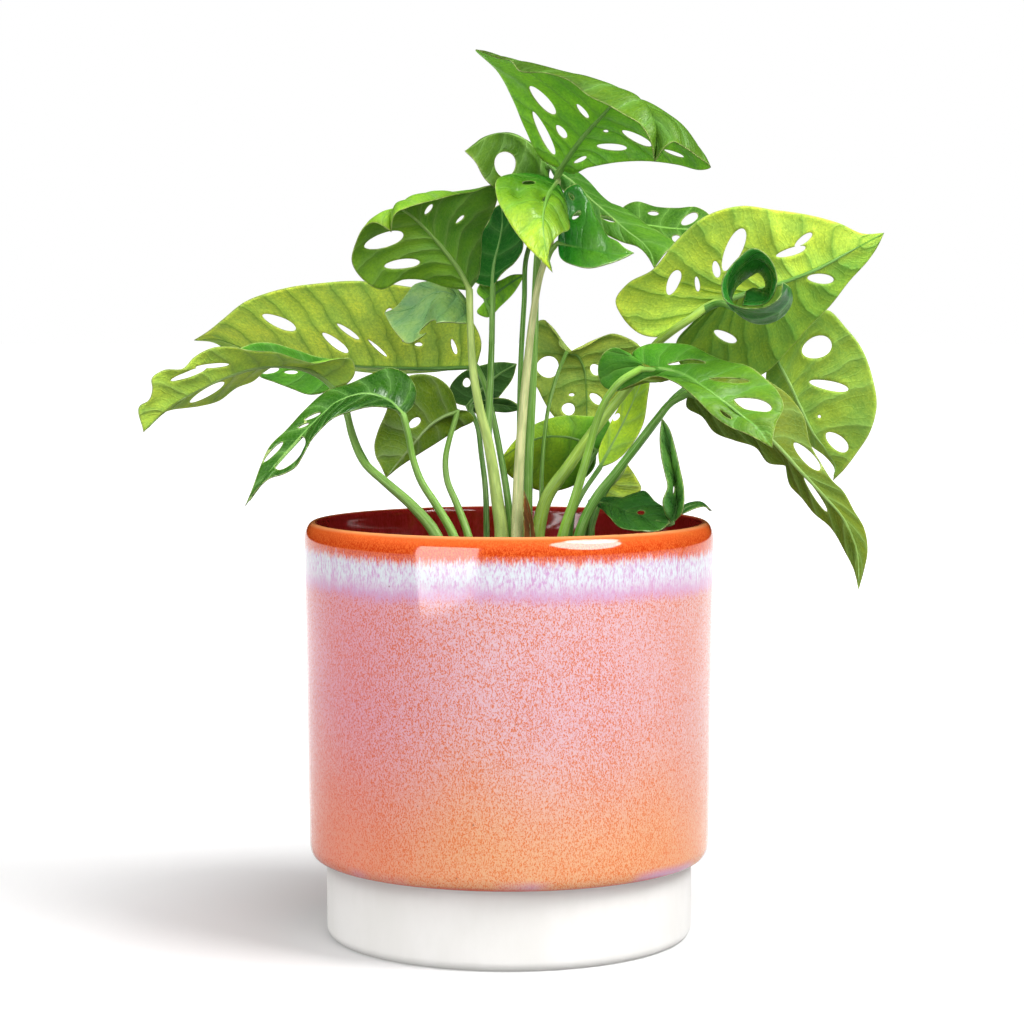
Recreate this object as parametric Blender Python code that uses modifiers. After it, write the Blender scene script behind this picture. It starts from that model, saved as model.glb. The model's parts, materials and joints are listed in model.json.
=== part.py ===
"""Monstera adansonii growing in a glazed ceramic pot: pot, potting mix, stalks and leaves.

Lengths are metres, +Z is up, the origin is the bottom centre of the pot and the front
faces -Y.  Leaves are drawn from hand-picked rails in millimetres: (across, up, depth),
where across and up are read on the upright plane through the pot's axis as the eye sees
it, and depth is how far behind that plane the point lies along the line of sight.
"""
import math

import bpy
import bmesh
import numpy as np
from mathutils import Vector
from mathutils.geometry import delaunay_2d_cdt

MM = 0.001
EYE_ACROSS = 1.0
EYE_DISTANCE = 960.0
EYE_UP = 218.5
DEPTH_STRETCH = 1.35

POT_HEIGHT = 142.0
POT_RADIUS = 70.0
FOOT_RADIUS = 62.8
FOOT_HEIGHT = 27.4
WALL = 5.0
FLOOR = 8.0
TURNS = 56
GAP = 0.3
SOIL_TOP = 115.0
SOIL_MOUND = 2.5
HOLE_CLEAR = 0.35
SHEATH_CLEAR = 1.8

BLADE_THICKNESS = 0.8
MARGIN_STEP = 6.3
RIB_STEP = 9.0
HOLE_CORNERS = 8
HOLE_REACH = (0.2, 0.45)
STALK_STEP = 9.0
STALK_SIDES = 2
RIB_REACH = 6.5
RIB_SHARE = 0.8
# Share of the stalk's thinner radius at its far end, and how fast it narrows.
STALK_END = 0.8
TAPER = 1.5

RAIL_STEPS = 12
# How strongly the base veins gather where rib and margins start at one point.
BASE_FAN = 1.4
WIDTH_SHARES = np.linspace(0, 1, 61)
TRACE_ALONG = np.linspace(0.01, 0.99, 197)
TRACE_ACROSS = np.linspace(0, 1.15, 47)
OUT_OF_REACH = 1e6
# Filling of a blade's plan: row spacing, shares across, clear distances (millimetres).
FILL_STEP = 10
FILL_SHARES = (0.25, 0.5, 0.78)
FILL_FROM_HOLE = 1.2
FILL_FROM_MARGIN = 1.6
SAME_POINT = 0.05
# Welding distances in metres: plan corners, finished solids, the seam of a turned solid.
BLADE_WELD = 0.00015
SOLID_WELD = 0.000001
TURN_WELD = 0.00005
# A stalk that starts above this height grows from another stalk and not from the soil.
ROOTED_BELOW = 106
SHEATH_TOP = (7.4, 125, -9)
# The lip as (inset from the pot's radius, drop from its height), outer wall as (inset, height).
LIP = [(4.3, 2.2), (3.4, 0.5), (2.2, 0.0), (1.0, 0.9), (0.2, 3.2), (0.0, 7.0)]
OUTER_WALL = [(0.6, 95), (1.5, 34), (2.1, 30)]
UNDERCUT = 3.4
# Inside the pot: insets above the foot, rounding of the floor, rise of the step.
INSIDE_INSET = 0.6
INSIDE_TAPER = 1.4
WELL_ROUNDING = [(5, 0), (1.3, 1.5), (0, 6)]
STEP_RISE = 9
FOOT_ROUNDING = [(0, 3.2), (1, 0.9), (3.2, 0)]
SOIL_SHOULDER = (35, 0.6)

# Each leaf: stalk with its radii, rib, left and right margins as seen from above the leaf
# looking from its base to its tip, optional middle rails where a half is folded, and holes
# given by their two ends as seen by the eye, and their width.  "fan" above 1 gathers the
# veins of the base lobes at the foot of the rib.
LEAVES = {
    "crown": dict(
        stalk=[(5.8, 97, 4), (6.2, 140, 3.5), (6.8, 165, 2.5), (7.8, 185, 2), (8.6, 205, 3),
               (9, 220, 4), (10, 235, 5), (13, 250, 4), (17.5, 261.5, 0)],
        radii=(2.1, 1.4),
        rib=[(17.5, 261.5, 0), (24, 271, -7), (31, 279, -15), (37, 284.5, -24), (43, 284.5, -32),
             (47.5, 278, -38), (49.5, 270, -40), (49.3, 264, -40)],
        right=[(17.5, 261.5, 0), (12, 264, 0), (5.5, 275, -3), (1.5, 284.5, -6), (-4, 294.5, -11),
               (-11.3, 301.6, -16), (-5, 299, -19), (0.5, 297.8, -22), (3.5, 294.4, -26),
               (12, 293.8, -30), (20, 291.3, -33), (27.3, 285.8, -36), (33.3, 283, -38.5),
               (39.3, 279.5, -41), (44.4, 276.5, -43), (48, 270.5, -43), (49.3, 264, -40)],
        right_mid=[(17.5, 261.5, 0), (15, 267, -2), (13, 275, -6), (11, 283, -11), (10, 288, -15),
                   (12.5, 291.5, -20), (18.5, 292.3, -24), (26, 292.3, -29), (35, 289, -34),
                   (44, 283.5, -38), (48.5, 276, -41), (49.3, 264, -40)],
        left=[(17.5, 261.5, 0), (20, 260.3, 0), (27, 262, -6), (37, 263.8, -12), (46, 264.2, -17),
              (57, 263, -23), (65, 261.2, -28), (68.3, 262, -32), (64, 265.5, -37),
              (58, 269.5, -41), (55.5, 270.6, -43), (52.5, 268.5, -43), (50.5, 265.5, -42),
              (49.3, 264, -40)],
        left_mid=[(17.5, 261.5, 0), (22.5, 264.5, -4), (29, 268.5, -9), (40, 273, -17),
                  (50, 277.5, -26), (57, 277, -34), (54.5, 276, -39), (51.5, 269, -41.5),
                  (49.3, 264, -40)],
        fan=1.2,
        holes=[("right", 7, 289.4, 15.7, 280, 3.7), ("right", 8, 281, 15.5, 266.3, 2.9),
               ("right", 16.1, 276.3, 19.4, 272, 2.5), ("right", 22.9, 283.4, 26.9, 278.7, 1.8),
               ("right", 26.3, 284.5, 30, 282.4, 1.1), ("left", 38.2, 274.4, 48.4, 269.4, 2.8),
               ("left", 29.6, 269.3, 40, 268.6, 2.3), ("left", 22, 263.6, 26.3, 265.7, 1.3),
               ("left", 31.9, 274.3, 33.7, 274.3, 0.9), ("left", 52.5, 268, 59.3, 265.6, 1.3)]),
    "curl_left": dict(
        stalk=[(9.5, 226, 4.5), (10.5, 240, 7), (12, 252, 7), (13, 262, 6)], radii=(1.2, 1.0),
        rib=[(13, 262, 6), (9.5, 267.5, 3), (4.5, 271.8, 0), (-2, 273.8, -3), (-8, 272, -6),
             (-12.5, 269, -8), (-15, 267.5, -9)],
        left=[(13, 262, 6), (13.5, 256.5, 2), (7, 255.5, -5), (0, 255.5, -9), (-5, 255.3, -12),
              (-8, 258, -13), (-11.5, 264, -12), (-15, 267.5, -9)],
        right=[(13, 262, 6), (12, 265, 13), (6, 270.5, 16), (-2, 273.3, 12), (-9, 271, 4),
               (-15, 267.5, -9)],
        holes=[("left", -1.6, 258.6, -1.2, 267.4, 7.4)]),
    "strip_right": dict(
        stalk=[(10, 236, 5.5), (11.5, 250, 9), (12, 257, 8), (13.5, 262.5, 3)], radii=(1.2, 1.0),
        rib=[(13.5, 262.5, 3), (20, 258.5, 2), (30, 249.5, 0), (40, 240.8, -3), (46, 236, -6),
             (48.6, 232, -8), (49.3, 228, -9)],
        left=[(13.5, 262.5, 3), (17.5, 263.2, 10), (22.5, 261, 15), (27, 257.3, 16), (33, 250.8, 14),
              (41, 247, 10), (47, 242.5, 4), (52, 239.5, -2), (56, 236.3, -6), (52.5, 232.5, -9),
              (49.3, 228, -9)],
        right=[(13.5, 262.5, 3), (17, 256, 1), (24, 248.5, -2), (30, 241.5, -3), (38, 237, -4),
               (44, 235, -6), (48, 230.5, -8.5), (49.3, 228, -9)],
        holes=[("right", 31, 245.5, 36, 243.8, 1.4)]),
    "bright_front": dict(
        stalk=[(2.2, 97, -7), (2.5, 125, -7), (2.7, 138, -6.5), (3.2, 155, -5.5), (4.4, 175, -5),
               (6.2, 195, -5), (8.2, 212, -6), (11, 227, -7), (13.5, 234, -8), (15.5, 246, -7),
               (16.5, 257.5, -4)],
        radii=(2.6, 1.2),
        rib=[(16.5, 257.5, -4), (13, 252, -16), (11.5, 244, -23), (12.5, 235, -25), (14.8, 226.5, -24)],
        left=[(16.5, 257.5, -4), (18.5, 253, -9), (19.8, 247, -15), (20.3, 241, -19), (17.2, 239.5, -22),
              (14.3, 236, -24), (13.3, 231.5, -25), (14.8, 226.5, -24)],
        right=[(16.5, 257.5, -4), (9, 259.8, -6), (2, 260, -9), (-4, 258, -13), (-4.2, 252, -18),
               (0, 243.5, -22), (6, 235.5, -24), (11, 230.5, -25), (14.8, 226.5, -24)],
        holes=[("right", 4.5, 257, 8.8, 256.8, 1.2), ("right", 11.6, 252.8, 12.8, 252.8, 1.2)]),
    "dark_right": dict(
        stalk=[(12.5, 230, -7.5), (14.3, 234, -9), (16.5, 236.5, -10)], radii=(1.2, 1.0),
        rib=[(16.5, 236.5, -10), (22, 235.3, -12), (30, 233.6, -14), (38, 232.8, -15),
             (42.5, 233.2, -15)],
        left=[(16.5, 236.5, -10), (17.5, 245, -8.5), (20, 255.5, -5), (23, 256.5, -4), (27, 251.5, -5),
              (30, 244, -7), (33, 239, -10), (37, 237, -13), (39.5, 234.8, -14.5), (42.5, 233.2, -15)],
        right=[(16.5, 236.5, -10), (17.5, 231.5, -13), (22, 229, -17), (27, 228, -19), (34, 229.5, -18),
               (39.5, 231.6, -16), (42.5, 233.2, -15)],
        holes=[("left", 20.5, 253.4, 22.2, 252, 1.2), ("left", 21.5, 245.2, 24.5, 247.8, 1.6)]),
    "behind_right": dict(
        stalk=[(4, 97, 9), (3.8, 150, 9), (3.6, 175, 9), (4.2, 200, 9), (5.2, 217, 9.5),
               (6.2, 233, 12), (11, 243, 16), (24, 246.5, 20), (40, 243.5, 22)], radii=(1.2, 1.0),
        rib=[(40, 243.5, 22), (47, 242.5, 20), (55, 241.5, 20), (63, 241.2, 22), (70, 241, 24)],
        left=[(40, 243.5, 22), (38, 247.5, 25), (43, 250.5, 28), (50, 248.7, 29), (57, 248.3, 29),
              (64, 248.5, 28), (68, 246, 27), (70, 241, 24)],
        right=[(40, 243.5, 22), (42, 239.5, 17), (47, 236.5, 13), (53, 235, 11), (58, 229.5, 10),
               (61, 231, 12), (64, 235, 18), (70, 241, 24)],
        holes=[("left", 47, 246.6, 50.8, 246.4, 1.5), ("left", 58.5, 242.8, 64, 246.4, 3.2),
               ("right", 55.3, 238.3, 58.4, 237.6, 2.6)]),
    "olive": dict(
        stalk=[(-1.5, 97, -2), (-2.2, 125, -2.5), (-2.8, 140, -3), (-4.2, 150, -3.5), (-5.6, 160, -4),
               (-7.4, 170, -5), (-10.2, 181, -6), (-12.2, 193, -6.5), (-13.1, 206, -6.5),
               (-13.5, 220.5, -4)],
        radii=(3.4, 1.4),
        rib=[(-13.5, 220.5, -4), (-17, 227, -6), (-22, 234, -9), (-28, 241, -13), (-34, 246.5, -18),
             (-38.5, 248.3, -24), (-40.2, 245, -28), (-40, 240.2, -29)],
        right=[(-13.5, 220.5, -4), (-21, 221.5, -4), (-30, 224.2, -7), (-36, 224.2, -9),
               (-43.5, 220.8, -12), (-50, 224.5, -16), (-53.4, 230.5, -20), (-51.8, 237, -23),
               (-48.5, 242.3, -26), (-45, 243.3, -29), (-42.5, 242, -30), (-40, 240.2, -29)],
        right_mid=[(-13.5, 220.5, -4), (-19, 224, -6), (-28, 229.5, -10), (-38, 234, -14),
                   (-45, 241, -20), (-44.5, 245.5, -26), (-42, 244.8, -29), (-40, 240.2, -29)],
        left=[(-13.5, 220.5, -4), (-10.5, 225, -1), (-9.5, 233, -1), (-9, 240, -2), (-6, 246, -4),
              (-4, 252, -6), (-5, 255.8, -9), (-12, 253.8, -13), (-19, 252.6, -17),
              (-25, 251, -22), (-30, 249.8, -26), (-35, 248.2, -30), (-38.5, 246.5, -32),
              (-39.8, 243.5, -31), (-40, 240.2, -29)],
        left_mid=[(-13.5, 220.5, -4), (-12.5, 228, -4), (-14, 237, -6), (-16, 246, -11),
                  (-23, 250.5, -16), (-30, 252.5, -21), (-36, 250.7, -26), (-39.3, 247, -30),
                  (-40, 240.2, -29)],
        holes=[("right", -49.3, 235.3, -35.8, 239.6, 5.0), ("right", -42.5, 228.7, -30.5, 230.4, 3.3),
               ("left", -28.6, 246.3, -26, 249.6, 1.6), ("left", -17.6, 243, -15.2, 245.8, 1.3)]),
    "olive_back": dict(
        stalk=[(-7.4, 170, -4.5), (-6.9, 180, -4), (-6.4, 190, -3), (-6, 200, -1), (-5.7, 211, 4),
               (-5.5, 221.5, 8)],
        radii=(1.5, 1.1),
        rib=[(-5.5, 221.5, 8), (-5, 229, 11), (-3, 237, 13), (-2, 244, 14), (-2.5, 250, 14)],
        left=[(-5.5, 221.5, 8), (-2, 226.8, 8), (1.5, 229.5, 9), (4.5, 234, 9), (4.5, 240, 10),
              (1, 246, 12), (-2.5, 250, 14)],
        right=[(-5.5, 221.5, 8), (-10, 222.5, 9), (-14.5, 226, 11), (-16, 233, 13), (-13, 240, 15),
               (-9.5, 240.8, 15), (-6.6, 244.5, 15), (-5.5, 248, 14.5), (-2.5, 250, 14)],
        holes=[]),
    "small_back": dict(
        stalk=[(-5.8, 207, 3), (-6.2, 213, 7), (-8, 217, 10)], radii=(1.0, 0.8),
        rib=[(-8, 217, 10), (-3, 220.5, 12), (2, 224, 14), (5.5, 226, 15.5)],
        left=[(-8, 217, 10), (-11, 220, 11), (-9, 223.5, 12), (-4, 223.6, 13), (1, 225.8, 14),
              (5.5, 226, 15.5)],
        right=[(-8, 217, 10), (-11, 213, 9), (-7.5, 211.3, 9), (-3, 215, 11), (1.5, 219.5, 13),
               (5.5, 226, 15.5)],
        holes=[]),
    "glossy_curl": dict(
        stalk=[(-12.9, 203, -6), (-13, 208, -4.5), (-13.2, 212, -2)], radii=(1.1, 0.9),
        rib=[(-13.2, 212, -2), (-17, 217.5, -1), (-22, 219.8, 0), (-27.5, 218.3, 1), (-33, 215, 1),
             (-38, 213.3, 0), (-42.5, 212.8, -1)],
        left=[(-13.2, 212, -2), (-14, 209.5, -6), (-20, 209.5, -10), (-25, 209, -12),
              (-30, 204.5, -12), (-34, 202.5, -11), (-38, 205.5, -8), (-41, 210, -4),
              (-42.5, 212.8, -1)],
        right=[(-13.2, 212, -2), (-14, 216.5, 3), (-20, 222.5, 6), (-28, 223.5, 7), (-32, 222.5, 7),
               (-35, 219, 5), (-39, 214.5, 2), (-42.5, 212.8, -1)],
        holes=[("left", -30.6, 205.8, -24.8, 210, 2.6)]),
    "light_left": dict(
        stalk=[(0.8, 97, 4), (0.6, 140, 4), (-0.8, 152, 4), (-3, 165, 6), (-6, 180, 10),
               (-8.8, 190, 15), (-11, 194.5, 20)], radii=(1.7, 1.2),
        rib=[(-11, 194.5, 20), (-30, 194.3, 23), (-52, 195.3, 26), (-72, 197.5, 28),
             (-90, 201.5, 28), (-100, 204.5, 27), (-107.2, 203.6, 26)],
        left=[(-11, 194.5, 20), (-9.5, 203, 17), (-14, 212, 16), (-25, 219.5, 15), (-38, 222.3, 14),
              (-52, 223.7, 13), (-66, 222.6, 14), (-80, 220.2, 15), (-90, 216.5, 17),
              (-97, 211, 20), (-103, 206.2, 24), (-107.2, 203.6, 26)],
        right=[(-11, 194.5, 20), (-16, 194, 23), (-26, 192.8, 33), (-45, 192.4, 43), (-65, 195, 47),
               (-83, 198, 44), (-96, 200.5, 36), (-101, 203, 31), (-107.2, 203.6, 26)],
        holes=[("left", -84, 212.2, -72.6, 207, 3.7), ("left", -63.6, 206, -54.8, 199.4, 2.9),
               ("left", -58.6, 209.2, -51, 204, 1.9), ("left", -48, 204, -41.6, 198, 1.2),
               ("left", -19.6, 204, -18, 198.8, 1.6), ("left", -42, 213, -39.6, 214.2, 2.2),
               ("left", -36.5, 203.6, -33.8, 203.8, 1.7), ("left", -32.2, 202, -29.6, 202, 1.2)]),
    "far_left": dict(
        stalk=[(-19, 97, -14), (-21.5, 125, -14), (-25.5, 138, -13), (-33, 147, -11),
               (-42, 155, -9), (-49.5, 162, -7), (-53.5, 171, -5), (-55.5, 179, -4),
               (-59.5, 187, -4)],
        radii=(3.0, 1.4),
        rib=[(-59.5, 187, -4), (-63.5, 191, -4), (-69, 194, -5), (-76, 195.3, -7), (-84, 195, -9),
             (-92, 193, -11), (-101, 189.3, -13), (-110, 184.8, -15), (-118, 179.5, -17),
             (-124.8, 172.3, -19)],
        left=[(-59.5, 187, -4), (-55.5, 188.5, -6), (-52.5, 193, -9), (-53.8, 197.2, -11),
              (-59, 197, -12), (-66, 195.6, -12), (-72, 197, -13), (-79, 199.3, -15),
              (-88, 200, -17), (-95, 201.4, -18), (-101, 201, -19), (-107.5, 197.6, -20),
              (-111, 194, -21), (-118, 193.3, -22), (-121.8, 190.5, -23), (-121.6, 186.8, -22),
              (-123.2, 182.8, -21), (-125.7, 181.5, -21), (-124.8, 172.3, -19)],
        right=[(-59.5, 187, -4), (-63, 189.6, -2), (-70, 193, -1), (-78, 194.3, -1), (-83.5, 193.8, 0),
               (-86.8, 190, 1), (-93, 187.4, 1), (-99, 183, 0), (-105, 181.3, -2), (-110, 180.6, -6),
               (-116, 179.7, -11), (-120, 178, -14), (-122.5, 175.5, -17), (-124.8, 172.3, -19)],
        fan=1.1,
        holes=[("left", -115.5, 189.8, -103, 194.3, 2.2), ("left", -107, 194.4, -95.3, 195.4, 1.6),
               ("right", -109, 182.4, -97, 189.3, 3.0)]),
    "short_left": dict(
        stalk=[(-48, 160.4, -7.4), (-51, 166, -5.6), (-53.8, 174, -1), (-55.6, 182, 3), (-58, 190, 6)],
        radii=(1.1, 0.9),
        rib=[(-58, 190, 6), (-66, 192.5, 8), (-75, 195, 8), (-84, 198.5, 7), (-92, 200.8, 6)],
        right=[(-58, 190, 6), (-62, 186.3, 6), (-68, 185, 6), (-74, 187, 6), (-80, 189.3, 6),
               (-85.5, 191.5, 6), (-89, 196, 6), (-92, 200.8, 6)],
        left=[(-58, 190, 6), (-60, 196.5, 8), (-66, 198.2, 9), (-74, 200.8, 9), (-81, 202.7, 8),
              (-87, 202.6, 7), (-92, 200.8, 6)],
        holes=[("right", -84.5, 192.6, -78.4, 193.9, 1.9), ("right", -76.6, 192.7, -72, 192.7, 1.2)]),
    "slit_left": dict(
        stalk=[(-13.5, 97, -20), (-15.5, 125, -19), (-19.5, 138, -18), (-25, 147.5, -18),
               (-30.3, 156, -18), (-33, 164, -18), (-34.3, 171, -19), (-36, 178, -20)],
        radii=(2.3, 1.3),
        rib=[(-36, 178, -20), (-41, 183, -18), (-48, 185.5, -19), (-57, 183.3, -22), (-66, 176, -26),
             (-74, 167.5, -30), (-81, 159.5, -33), (-86, 153, -35), (-90.3, 147, -36)],
        right=[(-36, 178, -20), (-32.6, 181.5, -16), (-31.8, 187, -13), (-35, 192, -11),
               (-41, 194.2, -11), (-47, 192, -12), (-54, 188.9, -14), (-62, 186.3, -17),
               (-69, 180.5, -21), (-76, 173, -25), (-82, 167, -29), (-85, 160.5, -32),
               (-88, 152.5, -35), (-90.3, 147, -36)],
        left=[(-36, 178, -20), (-40.5, 180.3, -23), (-47, 180.9, -26), (-54, 179.3, -29),
              (-60, 177, -31), (-64.5, 173, -33), (-68, 168.8, -35), (-70.3, 164.5, -36),
              (-73, 160.3, -36), (-77, 157.9, -36), (-82, 156.3, -36), (-86, 152.8, -36),
              (-90.3, 147, -36)],
        holes=[("right", -69.8, 176.3, -64.3, 178.8, 1.2), ("right", -72, 173.6, -68.3, 175.2, 0.9),
               ("right", -83.8, 162, -77.2, 168.8, 1.7), ("left", -79.5, 159.5, -70, 170.5, 6.2)]),
    "olive_low": dict(
        stalk=[(-9.5, 97, -8), (-11.5, 125, -6), (-14.3, 138, -4), (-18, 148, -2), (-21.2, 156, 0),
               (-21.7, 163, 1), (-20.3, 170, 2), (-18.5, 176, 3), (-17.5, 179.5, 4)],
        radii=(2.2, 1.1),
        rib=[(-17.5, 179.5, 4), (-22, 178, 3), (-27, 174.8, 2), (-32, 169.5, 0), (-37, 163.5, -2),
             (-42, 156.7, -4)],
        left=[(-17.5, 179.5, 4), (-18.4, 183, 3), (-20, 187, 1), (-23.5, 190.3, 0), (-28.5, 192, -2),
              (-35, 191, -4), (-40, 185, -5), (-42, 179, -5), (-44.8, 172.5, -5), (-46, 167.5, -5),
              (-45.6, 164.3, -5), (-43.7, 160.5, -5), (-42, 156.7, -4)],
        right=[(-17.5, 179.5, 4), (-13.5, 179, 8), (-11.8, 176.8, 9), (-17, 173.6, 8),
               (-25, 168.4, 5), (-33, 163.4, 1), (-38, 160, -2), (-42, 156.7, -4)],
        holes=[("left", -34.3, 174, -30.3, 176.9, 2.8)]),
    "dark_back": dict(
        stalk=[(-8, 97, 6), (-7.7, 140, 8), (-8, 152, 11), (-9.5, 165, 15), (-11, 175, 20),
               (-14, 181, 24)], radii=(1.4, 1.1),
        rib=[(-14, 181, 24), (-10, 186, 26), (-4, 191.5, 27), (2.7, 195.6, 28)],
        right=[(-14, 181, 24), (-18.5, 182.5, 25), (-20.3, 187, 26), (-17, 191.8, 27), (-9, 195.2, 28),
               (-2, 196.2, 28), (2.7, 195.6, 28)],
        left=[(-14, 181, 24), (-11, 178.5, 24), (-6, 181.5, 25), (-2, 186, 26), (1.2, 190.5, 27),
              (2.7, 195.6, 28)],
        holes=[("right", -14.3, 190.8, -14.6, 187.6, 2.6)]),
    "dark_strip": dict(
        stalk=[(-12, 177, 21), (-13, 179.3, 22.5), (-12.5, 181, 23)], radii=(1.0, 0.9),
        rib=[(-12.5, 181, 23), (-7, 181.8, 22), (0, 181.2, 21), (5, 180.2, 20)],
        left=[(-12.5, 181, 23), (-7, 183.6, 21), (0, 183.4, 20), (5, 180.2, 20)],
        right=[(-12.5, 181, 23), (-7, 179.6, 22), (0, 179, 21), (5, 180.2, 20)],
        holes=[]),
    "heart_right": dict(
        stalk=[(8.5, 97, 0), (9.3, 130, -1), (10.3, 140, -2), (13, 150, -3), (20, 160, -4),
               (27, 170, -3), (33, 178, -1), (39, 185.5, 0), (44, 192, -2), (50, 202, -8),
               (56, 207, -12), (62, 211, -13), (67, 214.7, -11), (71, 216.5, -8)],
        radii=(3.1, 1.6),
        rib=[(71, 216.5, -8), (80, 219.5, -9), (92, 223, -10), (105, 228, -9), (117, 234.5, -7),
             (127.3, 240, -4)],
        right=[(71, 216.5, -8), (62, 210.5, -9), (52, 204.8, -8), (44.5, 205.8, -6),
               (38.5, 211.5, -6), (36.2, 216.8, -7), (40, 222.5, -9), (48.5, 227.3, -12),
               (57, 237.5, -15), (66, 245.2, -17), (78, 249, -17), (90, 247.8, -15),
               (102, 246, -12), (112, 243.3, -9), (120.5, 239.7, -6), (127.3, 240, -4)],
        left=[(71, 216.5, -8), (64, 210.5, -5), (57, 203, -1), (58, 196, 3), (66, 190.5, 6),
              (77, 189, 6), (87, 192.3, 4), (95, 200, 1), (102, 208, -2), (109, 215, -4),
              (116, 224, -5), (122.3, 231, -5), (125.5, 236, -4), (127.3, 240, -4)],
        fan=1.9,
        holes=[("right", 73, 227, 79.6, 241.5, 5.6), ("right", 69.9, 230.5, 71, 224.8, 2.6),
               ("right", 54.2, 218.8, 57.7, 227.2, 4.2), ("right", 63.7, 225, 64.3, 219.8, 1.7),
               ("right", 90.6, 232.2, 101, 235, 2.8), ("right", 97, 235.4, 103, 239.8, 2.6),
               ("left", 101.4, 224.8, 110.5, 224, 3.3), ("left", 69.8, 206.8, 77.5, 202.5, 3.2)]),
    "rolled_young": dict(
        stalk=[(66, 213.8, -11.3), (69.5, 215.5, -12.5), (72.5, 216, -17), (75.5, 214.8, -24),
               (77.5, 213.8, -29), (77.6, 213.8, -34)],
        radii=(1.3, 1.0),
        rib=[(94.6, 222.3, -33), (94.8, 218.2, -33), (91, 213.2, -33), (84.8, 211.3, -32),
             (78.8, 212.8, -32), (74.3, 216.6, -32), (74.6, 222, -32), (78.2, 227.4, -32),
             (83.2, 231.2, -32), (87.6, 228.5, -31), (89.2, 222, -30), (86.6, 216.8, -29),
             (82.6, 216.8, -28.5), (79.5, 217.6, -28)],
        left=[(93, 223.3, -40), (92.4, 219, -40), (88.1, 215.1, -40), (83, 214.3, -40),
              (78, 214.9, -40), (73.6, 217, -40), (72.3, 222.5, -40), (76.6, 230.1, -40),
              (83, 234.8, -40), (88.5, 231.5, -38), (91.1, 223.3, -36), (87.6, 216.2, -34),
              (83.5, 215.2, -33), (79.3, 215.4, -32)],
        right=[(95.8, 221.1, -26), (96.4, 217.7, -26), (93.5, 212, -26), (86.4, 209, -25),
               (79.8, 211, -25), (75.2, 216.4, -24), (77.2, 221.3, -24), (80.4, 224.2, -24),
               (83.4, 227, -24), (86.6, 225, -24), (87.3, 222, -24), (86, 221, -24.5),
               (83.3, 221.4, -25), (80.6, 220.2, -26)],
        holes=[]),
    "back_right": dict(
        stalk=[(24, 97, 5), (25.5, 125, 5), (28, 140, 6), (31.5, 150, 7), (37, 158.5, 7),
               (44, 167.5, 6), (50.8, 176.5, 5), (56, 183.5, 6), (65, 190, 9), (78, 194.5, 12),
               (91.5, 197, 14)],
        radii=(1.8, 1.2),
        rib=[(91.5, 197, 14), (95.5, 189.5, 13), (99.5, 181, 12), (104, 172, 11), (109.3, 165, 11),
             (111.8, 160, 11), (110.8, 155.8, 11)],
        right=[(91.5, 197, 14), (95, 204, 12), (101, 211, 10), (108, 213.9, 8), (114.5, 208, 6),
               (120, 201, 5), (123.7, 191.5, 4), (125.4, 181, 4), (123.3, 172.5, 5),
               (118.5, 164.8, 7), (114, 159, 9), (110.8, 155.8, 11)],
        left=[(91.5, 197, 14), (88.3, 194.5, 15), (87.6, 189.5, 16), (91, 181, 15), (97, 173, 14),
              (103.5, 167.3, 13), (108.5, 163.5, 12), (111.3, 159.5, 11.3), (110.8, 155.8, 11)],
        fan=1.3,
        holes=[("right", 99.8, 199.3, 109.8, 203, 7.4), ("right", 102.3, 189.5, 115.8, 186.8, 3.2),
               ("right", 108.3, 171.9, 115.6, 165.9, 4.8), ("right", 105.3, 177.7, 106.4, 177.5, 1.0)]),
    "long_right": dict(
        stalk=[(20, 97, -8), (22, 125, -8), (25, 140, -9), (30, 150, -9), (36.5, 158.3, -10),
               (43.5, 167.5, -11), (50.3, 176.5, -12), (55.5, 182.5, -12), (61, 185.5, -12)],
        radii=(2.6, 1.5),
        rib=[(61, 185.5, -12), (72, 181, -16), (82, 175.5, -18), (91, 168, -18), (99, 159.5, -17),
             (107, 151, -15), (114, 143, -13), (118.5, 133, -12), (119.8, 118.3, -12)],
        left=[(61, 185.5, -12), (60.5, 181, -11), (66, 177.5, -12), (70, 172.3, -13),
              (77, 169.4, -14), (84.5, 166.8, -14), (88.5, 161.8, -14), (95.3, 160.2, -14),
              (95.6, 155, -13), (100.5, 149.3, -12), (104, 144.8, -12), (110, 139.6, -11),
              (115, 131.3, -11), (118.3, 124.5, -12), (119.8, 118.3, -12)],
        right=[(61, 185.5, -12), (65, 191, -10), (74, 195.3, -8), (82, 194.5, -8), (88, 190, -9),
               (95.5, 184.5, -10), (100.5, 177.5, -11), (102.9, 168, -12), (106.3, 162, -12),
               (110.6, 155.5, -12), (114, 152.3, -11), (118, 145.3, -10), (121.5, 139.3, -9),
               (122.7, 131, -9), (121.6, 125, -10), (119.8, 118.3, -12)],
        holes=[("right", 97.2, 168.6, 106.3, 159.3, 4.0), ("left", 100.8, 156.8, 108.8, 145, 1.9),
               ("right", 76.5, 184.6, 90.3, 179.6, 6.4)]),
    "arch_front": dict(
        stalk=[(15, 97, -12), (16.5, 125, -13), (18.7, 138, -14), (22, 148, -15), (25, 158, -16),
               (27.5, 167, -17), (30, 176, -19), (33.5, 184, -22), (38.5, 190, -24),
               (45, 193.8, -23)],
        radii=(2.4, 1.4),
        rib=[(45, 193.8, -23), (52, 194, -26), (60, 191.5, -30), (68, 186.5, -34), (76, 180.8, -37),
             (84, 174, -39), (90, 166.8, -40)],
        left=[(45, 193.8, -23), (42, 199.3, -19), (46, 201.8, -17), (53, 202.5, -17),
              (61, 201.7, -19), (68, 198.6, -22), (75, 196.2, -25), (81, 194.9, -28),
              (87, 190.6, -31), (92, 185.5, -34), (93.7, 181, -36), (91.3, 175.5, -38),
              (90.2, 170.5, -40), (90, 166.8, -40)],
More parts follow.
